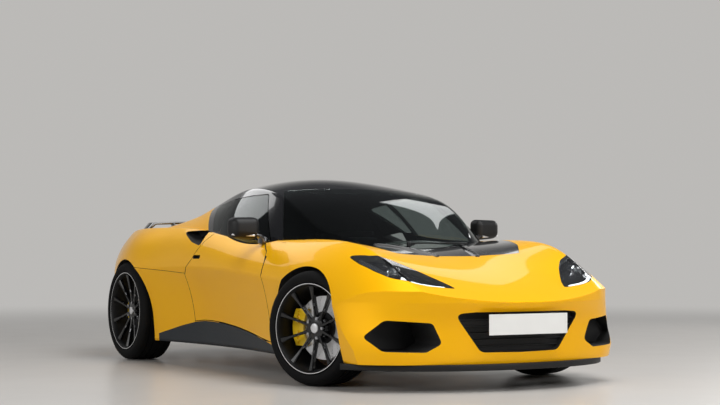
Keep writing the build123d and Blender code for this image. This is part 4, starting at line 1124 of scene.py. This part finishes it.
# ---------------------------------------------------------------- mirrors
def mirror_head():
    """A rounded housing that narrows outwards and forwards, with its glass sunk in the back."""
    head = block("mirror_head", (441, 792, 818), (561, 982, 964))
    reshape(head, outermost(0), (1, 0.9, 0.86), (0, -0.006, 0.004))
    reshape(head, outermost(1), (0.82, 1, 0.86), (0, 0, 0.006))
    polish(head, 36, 8, smooth=50)
    glass = [face.index for face in head.data.polygons if face.normal.x < -0.97 and face.area > 0.002]
    pick(head, lambda face: face.index in glass)
    bpy.ops.mesh.inset(thickness=0.006, depth=0)
    bpy.ops.mesh.extrude_region_move(TRANSFORM_OT_translate={"value": (0.005, 0, 0)})
    leave()
    dress(head, BLACK_SATIN, CHROME)
    for face in head.data.polygons:
        face.material_index = 1 if face.select else 0
    return head


def mirror_signal():
    """The slim side light in the front of the housing."""
    signal = block("signal", (520, 832, 842), (556, 972, 858))
    reshape(signal, outermost(1), (0.3, 1, 0.5), (-0.02, 0, 0.004))
    dress(polish(signal, 5, 3), SILVER)
    return signal


def mirror_stalk():
    stalk = block("mirror_stalk", (505, 742, 796), (556, 792, 832))
    pick(stalk, outermost(2))
    bpy.ops.mesh.extrude_region_move(TRANSFORM_OT_translate={"value": (0, 0.05, 0.03)})
    leave()
    dress(polish(stalk, 9, 3, smooth=50), BLACK_GLOSS)
    return stalk


for side, way in SIDES:
    whole = join_with_materials([mirror_head(), mirror_stalk(), mirror_signal()])
    if way < 0:
        whole.data.transform(Matrix.Scale(-1, 4, (0, 1, 0)))
        recalculate(whole)
    publish(whole, f"mirror_{side}_housing", f"door_{side}", "gloss_black", [f"mirror_{side}"])

# ---------------------------------------------------------------- seats
PAD_VOXEL, PAD_SWELL, PAD_PRESSURE, PAD_FRAMES = 8, 9, 4, 20
SEAT_Y = 360
OFF = 60  # moves a seam away where a pad has none


def plump(obj, voxel, cap):
    """Remesh a pad, let air pressure swell it, and keep each point within a cap of where it began."""
    select(obj)
    remesh = obj.modifiers.new("remesh", "REMESH")
    remesh.mode, remesh.voxel_size = "VOXEL", voxel * MM
    bpy.ops.object.modifier_apply(modifier="remesh")
    before = [v.co.copy() for v in obj.data.vertices]
    cloth = obj.modifiers.new("cloth", "CLOTH")
    cloth.settings.use_pressure = True
    cloth.settings.uniform_pressure_force = PAD_PRESSURE
    cloth.settings.effector_weights.gravity = 0
    for number in range(1, PAD_FRAMES + 1):
        bpy.context.scene.frame_set(number)
    swollen = [v.co.copy() for v in obj.evaluated_get(bpy.context.evaluated_depsgraph_get()).data.vertices]
    obj.modifiers.remove(cloth)
    bpy.context.scene.frame_set(1)
    for vertex, a, b in zip(obj.data.vertices, before, swollen):
        shift = b - a
        vertex.co = a + shift * min(1, cap * MM / max(shift.length, 1e-9))
    return obj


def stitched(obj, seams, depth=5.0, width=5.0):
    """Press sewn seams into a pad. Each seam gives a point's distance from it."""
    normals = [v.normal.copy() for v in obj.data.vertices]
    for vertex, normal in zip(obj.data.vertices, normals):
        place = vertex.co / MM
        press = max(math.exp(-(seam(place) / width) ** 2) for seam in seams)
        vertex.co = vertex.co - normal * (press * depth * MM)
    return obj


def seat_pad(name, blocks, turn, pivot, seams):
    """A pad from softened blocks about the middle of the seat, swollen, stitched and turned into place."""
    parts = []
    for low, high, squeeze in blocks:
        part = block("pad", low, high)
        reshape(part, outermost(2), (squeeze, squeeze, 1))
        parts.append(polish(part, 16, 3))
    pad = plump(joined(parts), PAD_VOXEL, PAD_SWELL)
    stitched(pad, seams)
    lean = Matrix.Rotation(math.radians(turn), 4, "Y")
    pad.data.transform(Matrix.Translation([c * MM for c in pivot]) @ lean)
    pad.name = name
    return polish(pad, levels=1, smooth=60)


def squab_cross(p):
    return min(abs(p.x + 60), abs(p.x - 40)) + (OFF if abs(p.y) > 138 else 0)


def back_long(p):
    return abs(abs(p.y) - 140) + (OFF if p.x > 70 else 0)


def back_cross(p):
    return min(abs(p.x + 140), abs(p.x + 40), abs(p.x - 60)) + (OFF if abs(p.y) > 138 else 0)


# Blocks: low corner, high corner, and how far the top draws in.
squab = seat_pad("squab", [
    ((-165, -150, 0), (165, 150, 52), 0.94),
    ((-165, -205, 0), (165, -130, 74), 0.85),
    ((-165, 130, 0), (165, 205, 74), 0.85),
], 7, (20, 0, 306), [lambda p: abs(abs(p.y) - 138), squab_cross])
backrest = seat_pad("backrest", [
    ((-270, -150, 0), (150, 150, 50), 0.95),
    ((-265, -208, 0), (60, -132, 80), 0.82),
    ((-265, 132, 0), (60, 208, 80), 0.82),
    ((150, -118, 4), (272, 118, 58), 0.86),
], -70, (-262, 0, 590), [back_long, lambda p: abs(p.x - 146), back_cross])
SHELL = [
    (188, 152), (208, 285), (170, 318), (-140, 276), (-205, 300), (-400, 835), (-415, 893), (-452, 886),
    (-300, 152),
]
shell = polish(prism(SHELL, "side", -226, 226), 14, 3)
SEAT_PARTS = [(squab, "cushion", LEATHER), (backrest, "backrest", LEATHER), (shell, "shell", BLACK_SATIN)]
for side, way in SIDES:
    for form, label, made in SEAT_PARTS:
        piece = moved(form, y=way * SEAT_Y)
        publish(piece, f"seat_{side}_{label}", "body", "seat", ["front_seats"], made)
remove(squab, backrest, shell)

# ---------------------------------------------------------------- tail lamps, grille and bonnet
TAIL_LAMPS, TAIL_LAMP_Z = (395, 515, -395, -515), 690
LAMP_RINGS = [
    # label, inner and outer radius, how far it stands out, depth, finish
    ("bezels", 53.5, 60, 2.5, 8, BLACK_GLOSS),
    ("rings", 26, 32, 3.0, 4, CHROME),
]
for label, inner, outer, out, deep, made in LAMP_RINGS:
    tubes = []
    for y in TAIL_LAMPS:
        hole = cylinder(inner, -NOSE_X - 80, -1900, (y, TAIL_LAMP_Z), 64, "front")
        rod = cylinder(outer, -NOSE_X - 60, -1950, (y, TAIL_LAMP_Z), 64, "front")
        tubes.append(combine("cut", rod, less=[hole]))
    rings = fixed(joined(tubes), "ring_zone")
    ring = combine("ring", rings, keep=[moved(body, x=-out)], less=[moved(body, x=deep)])
    remove(rings)
    publish(sharpen(ring), f"tail_lamp_{label}", "body", "red_lens", [], made)
SLATS, SLAT_PITCH = 5, 36
bars = [polish(block("slat", (2054, -420, 240 + SLAT_PITCH * k), (2068, 420, 245 + SLAT_PITCH * k)), 2, 2)
        for k in range(SLATS)]
slats = combine("slats", fixed(joined(bars), "slat_form"), keep=[from_front(GRILLE, 1900, 2300, grow=-1)])
publish(sharpen(slats), "grille_slats", "body", "black_trim", [], BLACK_SATIN)
RIB_LINE, RIB_WIDTH, RIB_HEIGHT = [(1500, 138), (1290, 205), (1075, 300)], 26, 11
base = fixed(moved(body, z=RIB_HEIGHT), "rib_base")
ribs = combine("ribs", base, keep=[prism(band(RIB_LINE, RIB_WIDTH), "plan", 600, 900, "both")],
               less=[moved(body, z=-6)])
remove(base)
publish(polish(ribs, 7, 3, limit=50), "bonnet_ribs", "body", "gloss_black", [], BLACK_GLOSS)


# ---------------------------------------------------------------- carried-over pieces
KEPT = {
    "floor_tub": DARK_LINING, "grilles": BLACK_SATIN, "engine": ALLOY, "rear_uprights": ALLOY,
    "wishbones": ALLOY, "upright_front_right": ALLOY, "upright_front_left": ALLOY,
}
for name, made in KEPT.items():
    dress(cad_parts[name], made)
refined("splitter", "front_splitter", "body", "black_trim", BLACK_SATIN, bevel=2.5)
refined("diffuser", "rear_diffuser", "body", "black_trim", BLACK_SATIN, bevel=2)
refined("tail_lamps", "tail_lamp_lenses", "body", "red_lens", RED_LENS)
refined("number_plates", "blank_plates", "body", "plate", PLATE_WHITE, bevel=1)
refined("exhaust_tip", "exhaust_pipe", "body", "steel", CHROME)
refined("wiper", "wiper_arm", "body", "black_trim", BLACK_SATIN)
dash = refined("dashboard", "dashboard_cover", "body", "dash", DASH)
refined("console", "console_cover", "body", "dash", DASH, bevel=14, segments=3)
refined("rear_calipers", "caliper_pair_rear", "body", "caliper_yellow", CALIPER_YELLOW, bevel=3)
wing = refined("rear_wing", "rear_wing_blade", "tailgate", "gloss_black", BLACK_GLOSS, bevel=3)
refined("steering_wheel", "steering_wheel_rim", "steering_wheel", "dash", LEATHER)

# The steering column is slimmer than the wheel's hub, which turns around it.
COLUMN_FOOT, COLUMN_LEAN = Vector((560.6, -360, 597.7)) * MM, math.radians(65)
COLUMN_REACH, COLUMN_SHARE = 13 * MM, 0.94
column = Vector((-math.sin(COLUMN_LEAN), 0, math.cos(COLUMN_LEAN)))
for vertex in dash.data.vertices:
    middle = COLUMN_FOOT + column * (vertex.co - COLUMN_FOOT).dot(column)
    if (vertex.co - middle).length < COLUMN_REACH:
        vertex.co = middle + (vertex.co - middle) * COLUMN_SHARE

WING_MIDDLE, WING_STRETCH = Vector((0, 0, 0.886)), 1.32
wing.data.transform(about(WING_MIDDLE, Matrix.Scale(WING_STRETCH, 4, (0, 0, 1))))

CALIPER_MIDDLE, CALIPER_FACE = -168, (3, 30)
CALIPER_HOLES = [(13, 62), (13, -62), (9, 30), (9, -30), (7, 88), (7, -88)]  # radius, height
for side, way in SIDES:
    cover = refined(f"caliper_front_{side}", f"caliper_{side}_cover", f"knuckle_{side}", "caliper_yellow",
                    CALIPER_YELLOW)
    drill = joined([cylinder(radius, *CALIPER_FACE, (way * CALIPER_MIDDLE, height), steps=24)
                    for radius, height in CALIPER_HOLES])
    drill.data.transform(wheel_place(way, *WHEELS["front"][:3], True))
    drilled = combine("caliper", cover, less=[drill])
    dress(drilled, CALIPER_YELLOW)
    polish(drilled, 2, 2)
    cover.data = drilled.data
    bpy.data.objects.remove(drilled)

# ---------------------------------------------------------------- floor, light and camera
BACKDROP = (0.5, 0.49, 0.475)


def background_rays(tree):
    """A node that is 1 where the camera, a mirror or glass looks, and 0 for light that only falls."""
    path, glints, seen = node(tree, "LightPath"), node(tree, "Math", "MAXIMUM"), node(tree, "Math", "MAXIMUM")
    wire(tree, (path, "Is Glossy Ray", glints, 0), (path, "Is Transmission Ray", glints, 1),
         (path, "Is Camera Ray", seen, 0), (glints, 0, seen, 1))
    return seen


bpy.ops.mesh.primitive_plane_add(size=60)
floor = bpy.context.object
floor.name = "floor"
pale = material("pale_floor", (0.5, 0.48, 0.455), 0.3, unevenness=0.08, grain=60, patch=0.4)
dress(floor, pale)
tree = pale.node_tree
spot, reach = node(tree, "TexCoord"), node(tree, "VectorMath", "LENGTH")
fade = node(tree, "MapRange", From_Min=3.5, From_Max=13)
fade.interpolation_type = "SMOOTHSTEP"
share, mixed = node(tree, "Math", "MULTIPLY"), node(tree, "MixShader")
haze = node(tree, "Emission", Color=(*BACKDROP, 1))
wire(tree, (spot, "Object", reach, 0), (reach, "Value", fade, "Value"), (background_rays(tree), 0, share, 0),
     (fade, "Result", share, 1), (share, 0, mixed, 0), (tree.nodes["Principled BSDF"], 0, mixed, 1),
     (haze, 0, mixed, 2), (mixed, 0, tree.nodes["Material Output"], "Surface"))

world = bpy.data.worlds.new("room")
bpy.context.scene.world = world
world.use_nodes = True
tree = world.node_tree
heading, split, wall = node(tree, "TexCoord"), node(tree, "SeparateXYZ"), node(tree, "ValToRGB")
colours(wall, 0.18, BACKDROP, 0.42, (0.06, 0.062, 0.066))
strength, far = node(tree, "MapRange", To_Min=0.55, To_Max=1.0), tree.nodes["Background"]
wire(tree, (heading, "Generated", split, 0), (split, "Z", wall, "Fac"), (wall, "Color", far, "Color"),
     (background_rays(tree), 0, strength, "Value"), (strength, "Result", far, "Strength"))


def area_light(name, place, target, size, power):
    data = bpy.data.lights.new(name, "AREA")
    data.shape = "RECTANGLE"
    data.size, data.size_y = size
    data.energy = power
    light = linked(name, data)
    light.location = place
    light.rotation_euler = (Vector(target) - Vector(place)).to_track_quat("-Z", "Y").to_euler()


area_light("ceiling", (3.1, 0.3, 5.8), (0.3, 0, 0), (3.2, 4.4), 370)
area_light("front_side", (7.2, 1.6, 3.4), (1.2, 0, 0.5), (3.4, 2.0), 170)
area_light("near_side", (2.0, -8.4, 4.2), (0.2, 0, 0.6), (9.5, 4.2), 370)
area_light("far_side", (-0.5, 7.0, 3.4), (-0.3, 0, 0.5), (6, 1.6), 170)
area_light("behind", (-6.8, -0.6, 5.1), (-1.2, 0, 0.6), (5.0, 2.6), 70)
area_light("far_window", (-4.1, 4.9, 5.2), (0.6, 0, 1.0), (1.5, 1.1), 9)

CAMERA_PLACE = (9.2884, -5.2244, 0.761)
CAMERA_YAW, CAMERA_PITCH = math.radians(149.6), math.radians(1.84)
camera = linked("camera", bpy.data.cameras.new("camera"))
bpy.context.scene.camera = camera
camera.location = CAMERA_PLACE
ahead = Vector((math.cos(CAMERA_YAW) * math.cos(CAMERA_PITCH), math.sin(CAMERA_YAW) * math.cos(CAMERA_PITCH),
                math.sin(CAMERA_PITCH)))
camera.rotation_mode = "QUATERNION"
camera.rotation_quaternion = ahead.to_track_quat("-Z", "Y")
camera.data.sensor_width = 36.0
camera.data.lens = 81.03
camera.data.shift_y = -0.0061
bpy.context.scene.view_settings.view_transform = "Standard"

kept = set(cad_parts) | PUBLISHED | {floor.name}
remove(*[obj for obj in list(bpy.data.objects) if obj.type == "MESH" and obj.name not in kept])
